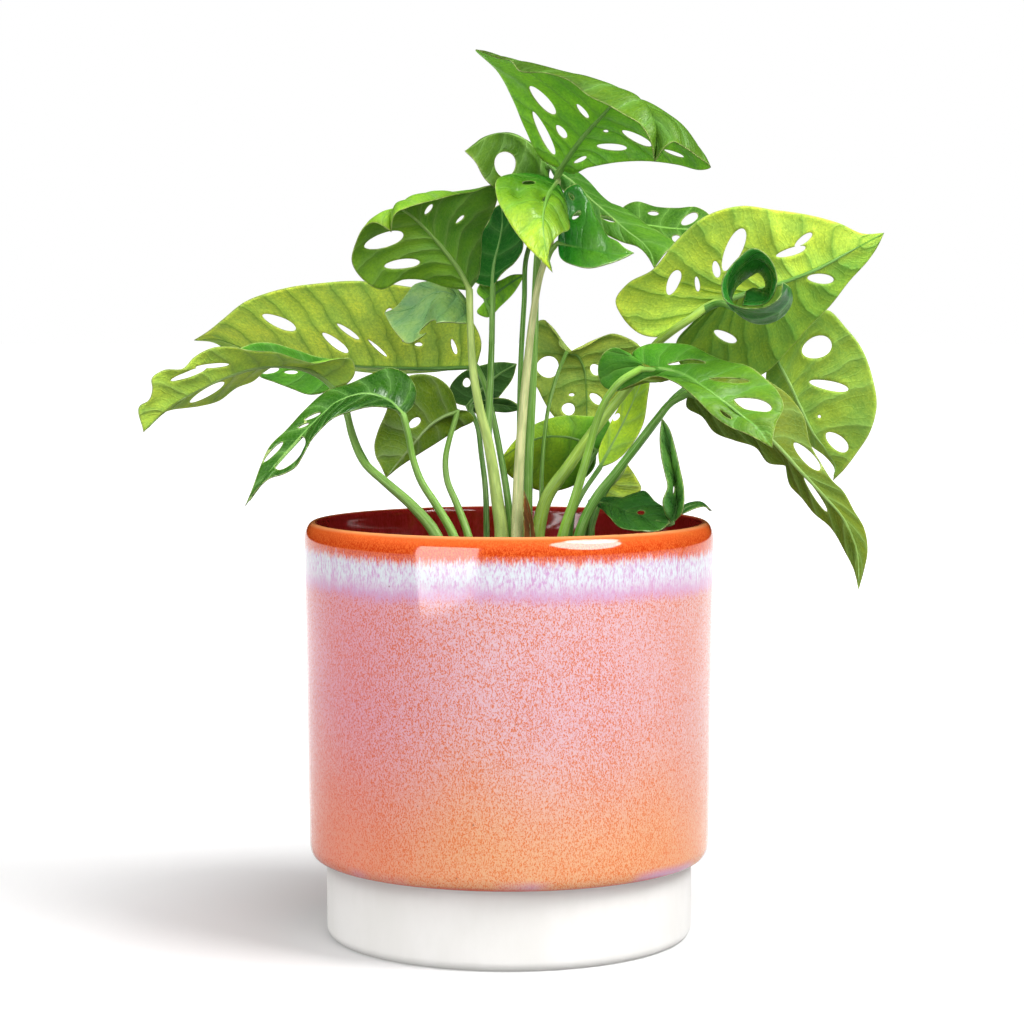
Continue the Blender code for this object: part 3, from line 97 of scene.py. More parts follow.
# Each leaf: stalk with its radii, rib, left and right margins as seen from above the leaf
# looking from its base to its tip, optional middle rails where a half is folded, and holes
# given by their two ends as seen by the eye, and their width.  Margins and middle rails run
# from the rib's first pick to its last, which they leave out, unless the leaf is "apart".
# "fan" above 1 gathers the veins of the base lobes at the foot of the rib.
LEAVES = {
    "crown": dict(
        radii=(2.1, 1.4), fan=1.2,
        stalk=[(5.8, 97, 4), (6.2, 140, 3.5), (6.8, 165, 2.5), (7.8, 185, 2), (8.6, 205, 3), (9, 220, 4),
            (10, 235, 5), (13, 250, 4), (17.5, 261.5, 0)],
        rib=[(17.5, 261.5, 0), (24, 271, -7), (31, 279, -15), (37, 284.5, -24), (43, 284.5, -32),
            (47.5, 278, -38), (49.5, 270, -40), (49.3, 264, -40)],
        left=[(20, 260.3, 0), (27, 262, -6), (37, 263.8, -12), (46, 264.2, -17), (57, 263, -23),
            (65, 261.2, -28), (68.3, 262, -32), (64, 265.5, -37), (58, 269.5, -41), (55.5, 270.6, -43),
            (52.5, 268.5, -43), (50.5, 265.5, -42)],
        left_mid=[(22.5, 264.5, -4), (29, 268.5, -9), (40, 273, -17), (50, 277.5, -26), (57, 277, -34),
            (54.5, 276, -39), (51.5, 269, -41.5)],
        right=[(12, 264, 0), (5.5, 275, -3), (1.5, 284.5, -6), (-4, 294.5, -11), (-11.3, 301.6, -16),
            (-5, 299, -19), (0.5, 297.8, -22), (3.5, 294.4, -26), (12, 293.8, -30), (20, 291.3, -33),
            (27.3, 285.8, -36), (33.3, 283, -38.5), (39.3, 279.5, -41), (44.4, 276.5, -43),
            (48, 270.5, -43)],
        right_mid=[(15, 267, -2), (13, 275, -6), (11, 283, -11), (10, 288, -15), (12.5, 291.5, -20),
            (18.5, 292.3, -24), (26, 292.3, -29), (35, 289, -34), (44, 283.5, -38), (48.5, 276, -41)],
        holes=[("right", 7, 289.4, 15.7, 280, 3.7), ("right", 8, 281, 15.5, 266.3, 2.9),
            ("right", 16.1, 276.3, 19.4, 272, 2.5), ("right", 22.9, 283.4, 26.9, 278.7, 1.8),
            ("right", 26.3, 284.5, 30, 282.4, 1.1), ("left", 38.2, 274.4, 48.4, 269.4, 2.8),
            ("left", 29.6, 269.3, 40, 268.6, 2.3), ("left", 22, 263.6, 26.3, 265.7, 1.3),
            ("left", 31.9, 274.3, 33.7, 274.3, 0.9), ("left", 52.5, 268, 59.3, 265.6, 1.3)]),
    "curl_left": dict(
        radii=(1.2, 1.0),
        stalk=[(9.5, 226, 4.5), (10.5, 240, 7), (12, 252, 7), (13, 262, 6)],
        rib=[(13, 262, 6), (9.5, 267.5, 3), (4.5, 271.8, 0), (-2, 273.8, -3), (-8, 272, -6),
            (-12.5, 269, -8), (-15, 267.5, -9)],
        left=[(13.5, 256.5, 2), (7, 255.5, -5), (0, 255.5, -9), (-5, 255.3, -12), (-8, 258, -13),
            (-11.5, 264, -12)],
        right=[(12, 265, 13), (6, 270.5, 16), (-2, 273.3, 12), (-9, 271, 4)],
        holes=[("left", -1.6, 258.6, -1.2, 267.4, 7.4)]),
    "strip_right": dict(
        radii=(1.2, 1.0),
        stalk=[(10, 236, 5.5), (11.5, 250, 9), (12, 257, 8), (13.5, 262.5, 3)],
        rib=[(13.5, 262.5, 3), (20, 258.5, 2), (30, 249.5, 0), (40, 240.8, -3), (46, 236, -6),
            (48.6, 232, -8), (49.3, 228, -9)],
        left=[(17.5, 263.2, 10), (22.5, 261, 15), (27, 257.3, 16), (33, 250.8, 14), (41, 247, 10),
            (47, 242.5, 4), (52, 239.5, -2), (56, 236.3, -6), (52.5, 232.5, -9)],
        right=[(17, 256, 1), (24, 248.5, -2), (30, 241.5, -3), (38, 237, -4), (44, 235, -6),
            (48, 230.5, -8.5)],
        holes=[("right", 31, 245.5, 36, 243.8, 1.4)]),
    "bright_front": dict(
        radii=(2.6, 1.2),
        stalk=[(2.2, 97, -7), (2.5, 125, -7), (2.7, 138, -6.5), (3.2, 155, -5.5), (4.4, 175, -5),
            (6.2, 195, -5), (8.2, 212, -6), (11, 227, -7), (13.5, 234, -8), (15.5, 246, -7),
            (16.5, 257.5, -4)],
        rib=[(16.5, 257.5, -4), (13, 252, -16), (11.5, 244, -23), (12.5, 235, -25), (14.8, 226.5, -24)],
        left=[(18.5, 253, -9), (19.8, 247, -15), (20.3, 241, -19), (17.2, 239.5, -22), (14.3, 236, -24),
            (13.3, 231.5, -25)],
        right=[(9, 259.8, -6), (2, 260, -9), (-4, 258, -13), (-4.2, 252, -18), (0, 243.5, -22),
            (6, 235.5, -24), (11, 230.5, -25)],
        holes=[("right", 4.5, 257, 8.8, 256.8, 1.2), ("right", 11.6, 252.8, 12.8, 252.8, 1.2)]),
    "dark_right": dict(
        radii=(1.2, 1.0),
        stalk=[(12.5, 230, -7.5), (14.3, 234, -9), (16.5, 236.5, -10)],
        rib=[(16.5, 236.5, -10), (22, 235.3, -12), (30, 233.6, -14), (38, 232.8, -15), (42.5, 233.2, -15)],
        left=[(17.5, 245, -8.5), (20, 255.5, -5), (23, 256.5, -4), (27, 251.5, -5), (30, 244, -7),
            (33, 239, -10), (37, 237, -13), (39.5, 234.8, -14.5)],
        right=[(17.5, 231.5, -13), (22, 229, -17), (27, 228, -19), (34, 229.5, -18), (39.5, 231.6, -16)],
        holes=[("left", 20.5, 253.4, 22.2, 252, 1.2), ("left", 21.5, 245.2, 24.5, 247.8, 1.6)]),
    "behind_right": dict(
        radii=(1.2, 1.0),
        stalk=[(4, 97, 9), (3.8, 150, 9), (3.6, 175, 9), (4.2, 200, 9), (5.2, 217, 9.5), (6.2, 233, 12),
            (11, 243, 16), (24, 246.5, 20), (40, 243.5, 22)],
        rib=[(40, 243.5, 22), (47, 242.5, 20), (55, 241.5, 20), (63, 241.2, 22), (70, 241, 24)],
        left=[(38, 247.5, 25), (43, 250.5, 28), (50, 248.7, 29), (57, 248.3, 29), (64, 248.5, 28),
            (68, 246, 27)],
        right=[(42, 239.5, 17), (47, 236.5, 13), (53, 235, 11), (58, 229.5, 10), (61, 231, 12),
            (64, 235, 18)],
        holes=[("left", 47, 246.6, 50.8, 246.4, 1.5), ("left", 58.5, 242.8, 64, 246.4, 3.2),
            ("right", 55.3, 238.3, 58.4, 237.6, 2.6)]),
    "olive": dict(
        radii=(3.4, 1.4),
        stalk=[(-1.5, 97, -2), (-2.2, 125, -2.5), (-2.8, 140, -3), (-4.2, 150, -3.5), (-5.6, 160, -4),
            (-7.4, 170, -5), (-10.2, 181, -6), (-12.2, 193, -6.5), (-13.1, 206, -6.5), (-13.5, 220.5, -4)],
        rib=[(-13.5, 220.5, -4), (-17, 227, -6), (-22, 234, -9), (-28, 241, -13), (-34, 246.5, -18),
            (-38.5, 248.3, -24), (-40.2, 245, -28), (-40, 240.2, -29)],
        left=[(-10.5, 225, -1), (-9.5, 233, -1), (-9, 240, -2), (-6, 246, -4), (-4, 252, -6),
            (-5, 255.8, -9), (-12, 253.8, -13), (-19, 252.6, -17), (-25, 251, -22), (-30, 249.8, -26),
            (-35, 248.2, -30), (-38.5, 246.5, -32), (-39.8, 243.5, -31)],
        left_mid=[(-12.5, 228, -4), (-14, 237, -6), (-16, 246, -11), (-23, 250.5, -16), (-30, 252.5, -21),
            (-36, 250.7, -26), (-39.3, 247, -30)],
        right=[(-21, 221.5, -4), (-30, 224.2, -7), (-36, 224.2, -9), (-43.5, 220.8, -12),
            (-50, 224.5, -16), (-53.4, 230.5, -20), (-51.8, 237, -23), (-48.5, 242.3, -26),
            (-45, 243.3, -29), (-42.5, 242, -30)],
        right_mid=[(-19, 224, -6), (-28, 229.5, -10), (-38, 234, -14), (-45, 241, -20),
            (-44.5, 245.5, -26), (-42, 244.8, -29)],
        holes=[("right", -49.3, 235.3, -35.8, 239.6, 5.0), ("right", -42.5, 228.7, -30.5, 230.4, 3.3),
            ("left", -28.6, 246.3, -26, 249.6, 1.6), ("left", -17.6, 243, -15.2, 245.8, 1.3)]),
    "olive_back": dict(
        radii=(1.5, 1.1),
        stalk=[(-7.4, 170, -4.5), (-6.9, 180, -4), (-6.4, 190, -3), (-6, 200, -1), (-5.7, 211, 4),
            (-5.5, 221.5, 8)],
        rib=[(-5.5, 221.5, 8), (-5, 229, 11), (-3, 237, 13), (-2, 244, 14), (-2.5, 250, 14)],
        left=[(-2, 226.8, 8), (1.5, 229.5, 9), (4.5, 234, 9), (4.5, 240, 10), (1, 246, 12)],
        right=[(-10, 222.5, 9), (-14.5, 226, 11), (-16, 233, 13), (-13, 240, 15), (-9.5, 240.8, 15),
            (-6.6, 244.5, 15), (-5.5, 248, 14.5)],
        holes=[]),
    "small_back": dict(
        radii=(1.0, 0.8),
        stalk=[(-5.8, 207, 3), (-6.2, 213, 7), (-8, 217, 10)],
        rib=[(-8, 217, 10), (-3, 220.5, 12), (2, 224, 14), (5.5, 226, 15.5)],
        left=[(-11, 220, 11), (-9, 223.5, 12), (-4, 223.6, 13), (1, 225.8, 14)],
        right=[(-11, 213, 9), (-7.5, 211.3, 9), (-3, 215, 11), (1.5, 219.5, 13)],
        holes=[]),
    "glossy_curl": dict(
        radii=(1.1, 0.9),
        stalk=[(-12.9, 203, -6), (-13, 208, -4.5), (-13.2, 212, -2)],
        rib=[(-13.2, 212, -2), (-17, 217.5, -1), (-22, 219.8, 0), (-27.5, 218.3, 1), (-33, 215, 1),
            (-38, 213.3, 0), (-42.5, 212.8, -1)],
        left=[(-14, 209.5, -6), (-20, 209.5, -10), (-25, 209, -12), (-30, 204.5, -12), (-34, 202.5, -11),
            (-38, 205.5, -8), (-41, 210, -4)],
        right=[(-14, 216.5, 3), (-20, 222.5, 6), (-28, 223.5, 7), (-32, 222.5, 7), (-35, 219, 5),
            (-39, 214.5, 2)],
        holes=[("left", -30.6, 205.8, -24.8, 210, 2.6)]),
    "light_left": dict(
        radii=(1.7, 1.2),
        stalk=[(0.8, 97, 4), (0.6, 140, 4), (-0.8, 152, 4), (-3, 165, 6), (-6, 180, 10), (-8.8, 190, 15),
            (-11, 194.5, 20)],
        rib=[(-11, 194.5, 20), (-30, 194.3, 23), (-52, 195.3, 26), (-72, 197.5, 28), (-90, 201.5, 28),
            (-100, 204.5, 27), (-107.2, 203.6, 26)],
        left=[(-9.5, 203, 17), (-14, 212, 16), (-25, 219.5, 15), (-38, 222.3, 14), (-52, 223.7, 13),
            (-66, 222.6, 14), (-80, 220.2, 15), (-90, 216.5, 17), (-97, 211, 20), (-103, 206.2, 24)],
        right=[(-16, 194, 23), (-26, 192.8, 33), (-45, 192.4, 43), (-65, 195, 47), (-83, 198, 44),
            (-96, 200.5, 36), (-101, 203, 31)],
        holes=[("left", -84, 212.2, -72.6, 207, 3.7), ("left", -63.6, 206, -54.8, 199.4, 2.9),
            ("left", -58.6, 209.2, -51, 204, 1.9), ("left", -48, 204, -41.6, 198, 1.2),
            ("left", -19.6, 204, -18, 198.8, 1.6), ("left", -42, 213, -39.6, 214.2, 2.2),
            ("left", -36.5, 203.6, -33.8, 203.8, 1.7), ("left", -32.2, 202, -29.6, 202, 1.2)]),
    "far_left": dict(
        radii=(3.0, 1.4), fan=1.1,
        stalk=[(-19, 97, -14), (-21.5, 125, -14), (-25.5, 138, -13), (-33, 147, -11), (-42, 155, -9),
            (-49.5, 162, -7), (-53.5, 171, -5), (-55.5, 179, -4), (-59.5, 187, -4)],
        rib=[(-59.5, 187, -4), (-63.5, 191, -4), (-69, 194, -5), (-76, 195.3, -7), (-84, 195, -9),
            (-92, 193, -11), (-101, 189.3, -13), (-110, 184.8, -15), (-118, 179.5, -17),
            (-124.8, 172.3, -19)],
        left=[(-55.5, 188.5, -6), (-52.5, 193, -9), (-53.8, 197.2, -11), (-59, 197, -12),
            (-66, 195.6, -12), (-72, 197, -13), (-79, 199.3, -15), (-88, 200, -17), (-95, 201.4, -18),
            (-101, 201, -19), (-107.5, 197.6, -20), (-111, 194, -21), (-118, 193.3, -22),
            (-121.8, 190.5, -23), (-121.6, 186.8, -22), (-123.2, 182.8, -21), (-125.7, 181.5, -21)],
        right=[(-63, 189.6, -2), (-70, 193, -1), (-78, 194.3, -1), (-83.5, 193.8, 0), (-86.8, 190, 1),
            (-93, 187.4, 1), (-99, 183, 0), (-105, 181.3, -2), (-110, 180.6, -6), (-116, 179.7, -11),
            (-120, 178, -14), (-122.5, 175.5, -17)],
        holes=[("left", -115.5, 189.8, -103, 194.3, 2.2), ("left", -107, 194.4, -95.3, 195.4, 1.6),
            ("right", -109, 182.4, -97, 189.3, 3.0)]),
    "short_left": dict(
        radii=(1.1, 0.9),
        stalk=[(-48, 160.4, -7.4), (-51, 166, -5.6), (-53.8, 174, -1), (-55.6, 182, 3), (-58, 190, 6)],
        rib=[(-58, 190, 6), (-66, 192.5, 8), (-75, 195, 8), (-84, 198.5, 7), (-92, 200.8, 6)],
        left=[(-60, 196.5, 8), (-66, 198.2, 9), (-74, 200.8, 9), (-81, 202.7, 8), (-87, 202.6, 7)],
        right=[(-62, 186.3, 6), (-68, 185, 6), (-74, 187, 6), (-80, 189.3, 6), (-85.5, 191.5, 6),
            (-89, 196, 6)],
        holes=[("right", -84.5, 192.6, -78.4, 193.9, 1.9), ("right", -76.6, 192.7, -72, 192.7, 1.2)]),
    "slit_left": dict(
        radii=(2.3, 1.3),
        stalk=[(-13.5, 97, -20), (-15.5, 125, -19), (-19.5, 138, -18), (-25, 147.5, -18),
            (-30.3, 156, -18), (-33, 164, -18), (-34.3, 171, -19), (-36, 178, -20)],
        rib=[(-36, 178, -20), (-41, 183, -18), (-48, 185.5, -19), (-57, 183.3, -22), (-66, 176, -26),
            (-74, 167.5, -30), (-81, 159.5, -33), (-86, 153, -35), (-90.3, 147, -36)],
        left=[(-40.5, 180.3, -23), (-47, 180.9, -26), (-54, 179.3, -29), (-60, 177, -31),
            (-64.5, 173, -33), (-68, 168.8, -35), (-70.3, 164.5, -36), (-73, 160.3, -36),
            (-77, 157.9, -36), (-82, 156.3, -36), (-86, 152.8, -36)],
        right=[(-32.6, 181.5, -16), (-31.8, 187, -13), (-35, 192, -11), (-41, 194.2, -11),
            (-47, 192, -12), (-54, 188.9, -14), (-62, 186.3, -17), (-69, 180.5, -21), (-76, 173, -25),
            (-82, 167, -29), (-85, 160.5, -32), (-88, 152.5, -35)],
        holes=[("right", -69.8, 176.3, -64.3, 178.8, 1.2), ("right", -72, 173.6, -68.3, 175.2, 0.9),
            ("right", -83.8, 162, -77.2, 168.8, 1.7), ("left", -79.5, 159.5, -70, 170.5, 6.2)]),
    "olive_low": dict(
        radii=(2.2, 1.1),
        stalk=[(-9.5, 97, -8), (-11.5, 125, -6), (-14.3, 138, -4), (-18, 148, -2), (-21.2, 156, 0),
            (-21.7, 163, 1), (-20.3, 170, 2), (-18.5, 176, 3), (-17.5, 179.5, 4)],
        rib=[(-17.5, 179.5, 4), (-22, 178, 3), (-27, 174.8, 2), (-32, 169.5, 0), (-37, 163.5, -2),
            (-42, 156.7, -4)],
        left=[(-18.4, 183, 3), (-20, 187, 1), (-23.5, 190.3, 0), (-28.5, 192, -2), (-35, 191, -4),
            (-40, 185, -5), (-42, 179, -5), (-44.8, 172.5, -5), (-46, 167.5, -5), (-45.6, 164.3, -5),
            (-43.7, 160.5, -5)],
        right=[(-13.5, 179, 8), (-11.8, 176.8, 9), (-17, 173.6, 8), (-25, 168.4, 5), (-33, 163.4, 1),
            (-38, 160, -2)],
        holes=[("left", -34.3, 174, -30.3, 176.9, 2.8)]),
    "dark_back": dict(
        radii=(1.4, 1.1),
        stalk=[(-8, 97, 6), (-7.7, 140, 8), (-8, 152, 11), (-9.5, 165, 15), (-11, 175, 20),
            (-14, 181, 24)],
        rib=[(-14, 181, 24), (-10, 186, 26), (-4, 191.5, 27), (2.7, 195.6, 28)],
        left=[(-11, 178.5, 24), (-6, 181.5, 25), (-2, 186, 26), (1.2, 190.5, 27)],
        right=[(-18.5, 182.5, 25), (-20.3, 187, 26), (-17, 191.8, 27), (-9, 195.2, 28), (-2, 196.2, 28)],
        holes=[("right", -14.3, 190.8, -14.6, 187.6, 2.6)]),
    "dark_strip": dict(
        radii=(1.0, 0.9),
        stalk=[(-12, 177, 21), (-13, 179.3, 22.5), (-12.5, 181, 23)],
        rib=[(-12.5, 181, 23), (-7, 181.8, 22), (0, 181.2, 21), (5, 180.2, 20)],
        left=[(-7, 183.6, 21), (0, 183.4, 20)],
        right=[(-7, 179.6, 22), (0, 179, 21)],
        holes=[]),
    "heart_right": dict(
        radii=(3.1, 1.6), fan=1.9,
        stalk=[(8.5, 97, 0), (9.3, 130, -1), (10.3, 140, -2), (13, 150, -3), (20, 160, -4), (27, 170, -3),
            (33, 178, -1), (39, 185.5, 0), (44, 192, -2), (50, 202, -8), (56, 207, -12), (62, 211, -13),
            (67, 214.7, -11), (71, 216.5, -8)],
        rib=[(71, 216.5, -8), (80, 219.5, -9), (92, 223, -10), (105, 228, -9), (117, 234.5, -7),
            (127.3, 240, -4)],
        left=[(64, 210.5, -5), (57, 203, -1), (58, 196, 3), (66, 190.5, 6), (77, 189, 6), (87, 192.3, 4),
            (95, 200, 1), (102, 208, -2), (109, 215, -4), (116, 224, -5), (122.3, 231, -5),
            (125.5, 236, -4)],
        right=[(62, 210.5, -9), (52, 204.8, -8), (44.5, 205.8, -6), (38.5, 211.5, -6), (36.2, 216.8, -7),
            (40, 222.5, -9), (48.5, 227.3, -12), (57, 237.5, -15), (66, 245.2, -17), (78, 249, -17),
            (90, 247.8, -15), (102, 246, -12), (112, 243.3, -9), (120.5, 239.7, -6)],
        holes=[("right", 73, 227, 79.6, 241.5, 5.6), ("right", 69.9, 230.5, 71, 224.8, 2.6),
            ("right", 54.2, 218.8, 57.7, 227.2, 4.2), ("right", 63.7, 225, 64.3, 219.8, 1.7),
            ("right", 90.6, 232.2, 101, 235, 2.8), ("right", 97, 235.4, 103, 239.8, 2.6),
            ("left", 101.4, 224.8, 110.5, 224, 3.3), ("left", 69.8, 206.8, 77.5, 202.5, 3.2)]),
    "rolled_young": dict(
        radii=(1.3, 1.0), apart=True,
        stalk=[(66, 213.8, -11.3), (69.5, 215.5, -12.5), (72.5, 216, -17), (75.5, 214.8, -24),
            (77.5, 213.8, -29), (77.6, 213.8, -34)],
        rib=[(94.6, 222.3, -33), (94.8, 218.2, -33), (91, 213.2, -33), (84.8, 211.3, -32),
            (78.8, 212.8, -32), (74.3, 216.6, -32), (74.6, 222, -32), (78.2, 227.4, -32),
            (83.2, 231.2, -32), (87.6, 228.5, -31), (89.2, 222, -30), (86.6, 216.8, -29),
            (82.6, 216.8, -28.5), (79.5, 217.6, -28)],
        left=[(93, 223.3, -40), (92.4, 219, -40), (88.1, 215.1, -40), (83, 214.3, -40), (78, 214.9, -40),
            (73.6, 217, -40), (72.3, 222.5, -40), (76.6, 230.1, -40), (83, 234.8, -40),
            (88.5, 231.5, -38), (91.1, 223.3, -36), (87.6, 216.2, -34), (83.5, 215.2, -33),
            (79.3, 215.4, -32)],
        right=[(95.8, 221.1, -26), (96.4, 217.7, -26), (93.5, 212, -26), (86.4, 209, -25),
            (79.8, 211, -25), (75.2, 216.4, -24), (77.2, 221.3, -24), (80.4, 224.2, -24),
            (83.4, 227, -24), (86.6, 225, -24), (87.3, 222, -24), (86, 221, -24.5), (83.3, 221.4, -25),
            (80.6, 220.2, -26)],
        holes=[]),
    "back_right": dict(
        radii=(1.8, 1.2), fan=1.3,
        stalk=[(24, 97, 5), (25.5, 125, 5), (28, 140, 6), (31.5, 150, 7), (37, 158.5, 7), (44, 167.5, 6),
            (50.8, 176.5, 5), (56, 183.5, 6), (65, 190, 9), (78, 194.5, 12), (91.5, 197, 14)],
        rib=[(91.5, 197, 14), (95.5, 189.5, 13), (99.5, 181, 12), (104, 172, 11), (109.3, 165, 11),
            (111.8, 160, 11), (110.8, 155.8, 11)],
        left=[(88.3, 194.5, 15), (87.6, 189.5, 16), (91, 181, 15), (97, 173, 14), (103.5, 167.3, 13),
            (108.5, 163.5, 12), (111.3, 159.5, 11.3)],
        right=[(95, 204, 12), (101, 211, 10), (108, 213.9, 8), (114.5, 208, 6), (120, 201, 5),
            (123.7, 191.5, 4), (125.4, 181, 4), (123.3, 172.5, 5), (118.5, 164.8, 7), (114, 159, 9)],
        holes=[("right", 99.8, 199.3, 109.8, 203, 7.4), ("right", 102.3, 189.5, 115.8, 186.8, 3.2),
            ("right", 108.3, 171.9, 115.6, 165.9, 4.8), ("right", 105.3, 177.7, 106.4, 177.5, 1.0)]),
    "long_right": dict(
        radii=(2.6, 1.5),
        stalk=[(20, 97, -8), (22, 125, -8), (25, 140, -9), (30, 150, -9), (36.5, 158.3, -10),
            (43.5, 167.5, -11), (50.3, 176.5, -12), (55.5, 182.5, -12), (61, 185.5, -12)],
        rib=[(61, 185.5, -12), (72, 181, -16), (82, 175.5, -18), (91, 168, -18), (99, 159.5, -17),
            (107, 151, -15), (114, 143, -13), (118.5, 133, -12), (119.8, 118.3, -12)],
        left=[(60.5, 181, -11), (66, 177.5, -12), (70, 172.3, -13), (77, 169.4, -14), (84.5, 166.8, -14),
            (88.5, 161.8, -14), (95.3, 160.2, -14), (95.6, 155, -13), (100.5, 149.3, -12),
            (104, 144.8, -12), (110, 139.6, -11), (115, 131.3, -11), (118.3, 124.5, -12)],
        right=[(65, 191, -10), (74, 195.3, -8), (82, 194.5, -8), (88, 190, -9), (95.5, 184.5, -10),
            (100.5, 177.5, -11), (102.9, 168, -12), (106.3, 162, -12), (110.6, 155.5, -12),
            (114, 152.3, -11), (118, 145.3, -10), (121.5, 139.3, -9), (122.7, 131, -9), (121.6, 125, -10)],
        holes=[("right", 97.2, 168.6, 106.3, 159.3, 4.0), ("left", 100.8, 156.8, 108.8, 145, 1.9),
            ("right", 76.5, 184.6, 90.3, 179.6, 6.4)]),
    "arch_front": dict(
        radii=(2.4, 1.4), fan=1.3,
        stalk=[(15, 97, -12), (16.5, 125, -13), (18.7, 138, -14), (22, 148, -15), (25, 158, -16),
            (27.5, 167, -17), (30, 176, -19), (33.5, 184, -22), (38.5, 190, -24), (45, 193.8, -23)],
        rib=[(45, 193.8, -23), (52, 194, -26), (60, 191.5, -30), (68, 186.5, -34), (76, 180.8, -37),
            (84, 174, -39), (90, 166.8, -40)],
        left=[(42, 199.3, -19), (46, 201.8, -17), (53, 202.5, -17), (61, 201.7, -19), (68, 198.6, -22),
            (75, 196.2, -25), (81, 194.9, -28), (87, 190.6, -31), (92, 185.5, -34), (93.7, 181, -36),
            (91.3, 175.5, -38), (90.2, 170.5, -40)],
        right=[(41, 198, -21), (36, 201.2, -19), (32, 199, -17), (30.3, 194, -16), (31.3, 189, -16),
            (35, 186.3, -18), (41, 188, -22), (49, 191.3, -27), (56, 189.5, -32), (64, 183.5, -37),
            (69.5, 178, -39), (75, 174.3, -40), (81, 171.5, -41), (86, 169, -41)],
        holes=[("left", 76.8, 184, 89.6, 180, 4.4), ("left", 54, 195.2, 67, 195.4, 1.3),
            ("left", 68.3, 190.3, 82, 189.7, 1.6), ("right", 72, 179.8, 76, 177, 1.2)]),
    "small_mid": dict(
        radii=(1.0, 0.8), fan=1.5,
        stalk=[(12.5, 97, 10), (11.8, 125, 10), (11, 150, 10), (12, 170, 10), (13.7, 182, 11),
            (16.5, 192, 12), (19.5, 199.5, 14)],
        rib=[(19.5, 199.5, 14), (23, 198.8, 17), (25.3, 194.5, 19), (26.2, 187, 20), (26.5, 175, 20)],
        left=[(17, 202, 14), (16.8, 205, 15), (14.5, 207, 15), (12, 210.5, 16), (8, 209, 17),
            (6, 200, 17), (6.5, 191, 17), (9.3, 187.8, 17), (11.5, 183.5, 18), (14, 179.3, 19),
            (17, 176, 20), (22, 174.5, 20)],
        right=[(22, 199.9, 14), (27, 201.7, 15), (31, 204.3, 16), (35, 205.8, 17), (40, 204.5, 18),
            (45, 201, 19), (45.5, 194, 20), (40, 187.5, 21), (35, 183, 21), (31.5, 179, 21),
            (28.5, 176, 20)],
        holes=[("left", 9.3, 194.5, 17, 194.5, 7.4), ("left", 18, 180.7, 22.4, 179.6, 4.2),
            ("left", 20.4, 185, 22.3, 185, 1.0), ("right", 28, 195.2, 31, 192, 3.4),
            ("right", 27.6, 185.3, 31.6, 182, 2.9)]),
    "low_mid": dict(
        radii=(1.2, 1.0),
        stalk=[(19, 97, 12), (20.5, 130, 13), (23, 150, 13.5), (27, 161, 14), (30, 166, 14)],
        rib=[(30, 166, 14), (22, 170, 13), (12, 170.5, 13), (3, 167, 13), (-3, 163, 13)],
        left=[(29, 160, 18), (22, 154, 21), (12, 152, 22), (4, 155, 20), (-1, 158.5, 16)],
        right=[(34.5, 170.5, 13), (34.3, 176, 13), (26, 177.8, 13), (16, 177.5, 14), (8, 174.5, 14),
            (2, 169.5, 13)],
        holes=[]),
    "upright_mid": dict(
        radii=(1.2, 1.0),
        stalk=[(16, 97, 2), (17, 125, 2), (20, 140, 1.5), (25, 151, 2.5), (31, 160, 4)],
        rib=[(31, 160, 4), (35.5, 168, 6), (40, 177, 8), (44, 186, 8), (47, 194, 6)],
        left=[(36.5, 162.5, 3), (42.3, 168.5, 3), (45.7, 175, 4), (47.2, 184, 5), (47.8, 191, 6)],
        right=[(30.5, 165, 5), (34, 174, 8), (39, 184, 9), (43, 191.5, 8)],
        holes=[("right", 35.6, 176.2, 37.6, 178.6, 1.8)]),
    "low_right": dict(
        radii=(1.0, 0.9),
        stalk=[(29.5, 97, 11), (29, 125, 11), (28.7, 140, 11), (30, 150.3, 11)],
        rib=[(30, 150.3, 11), (35.5, 154.3, 12), (38.5, 157.5, 12.5), (40.5, 161.3, 13)],
        left=[(36, 149.2, 10), (42, 149.8, 10), (45.2, 152.7, 10), (43.5, 156.7, 11)],
        right=[(31.5, 153.5, 12), (35, 158, 13)],
        holes=[("right", 33, 152.3, 36.4, 155, 2.3)]),
    "withered": dict(
        radii=(1.2, 1.0),
        stalk=[(25.5, 97, -1.5), (26, 125, -2), (26.7, 140, -2), (27.8, 148.5, -2.5)],
        rib=[(27.8, 148.5, -2.5), (33, 148, -8), (40, 145.3, -15), (48, 142.5, -20), (55, 141, -22)],
        left=[(33, 150, -2), (42, 150, -5), (46, 152.2, -8), (50, 148.5, -12), (54, 145.5, -17)],
        right=[(32, 145.5, -12), (34.5, 143, -20), (38.5, 139.3, -26), (45, 138.3, -29), (51, 138.3, -27)],
        holes=[("left", 43.8, 144.6, 46.4, 144.6, 1.6)]),
    "twisted": dict(
        radii=(0.9, 0.9),
        stalk=[(50, 141.5, -21), (54, 140.5, -21), (56, 141, -20)],
        rib=[(56, 141, -20), (57.3, 147, -19), (57, 154, -18), (55.5, 162, -17), (54, 170, -16),
            (52.2, 177, -16)],
        left=[(53.3, 144.5, -23), (52.6, 149, -25), (54.2, 153.5, -25), (53.3, 158, -24), (52, 164, -22),
            (51.5, 171, -19)],
        right=[(59.3, 145, -23), (59.8, 152, -24), (58.3, 160, -22), (56.4, 168, -20), (54.6, 173.5, -18)],
        holes=[("left", 56.1, 151, 56.4, 154, 0.6)]),
    "tip_over_rim": dict(
        radii=(0.8, 0.7),
        stalk=[(53, 141, -20.5), (56, 142, -19.5), (57, 143.2, -18)],
        rib=[(57, 143.2, -18), (60, 146.3, -16), (64, 147.6, -13), (67, 147.3, -10), (69.3, 145.3, -8)],
        left=[(58.5, 146, -15), (62, 148.2, -11), (66, 148.3, -9)],
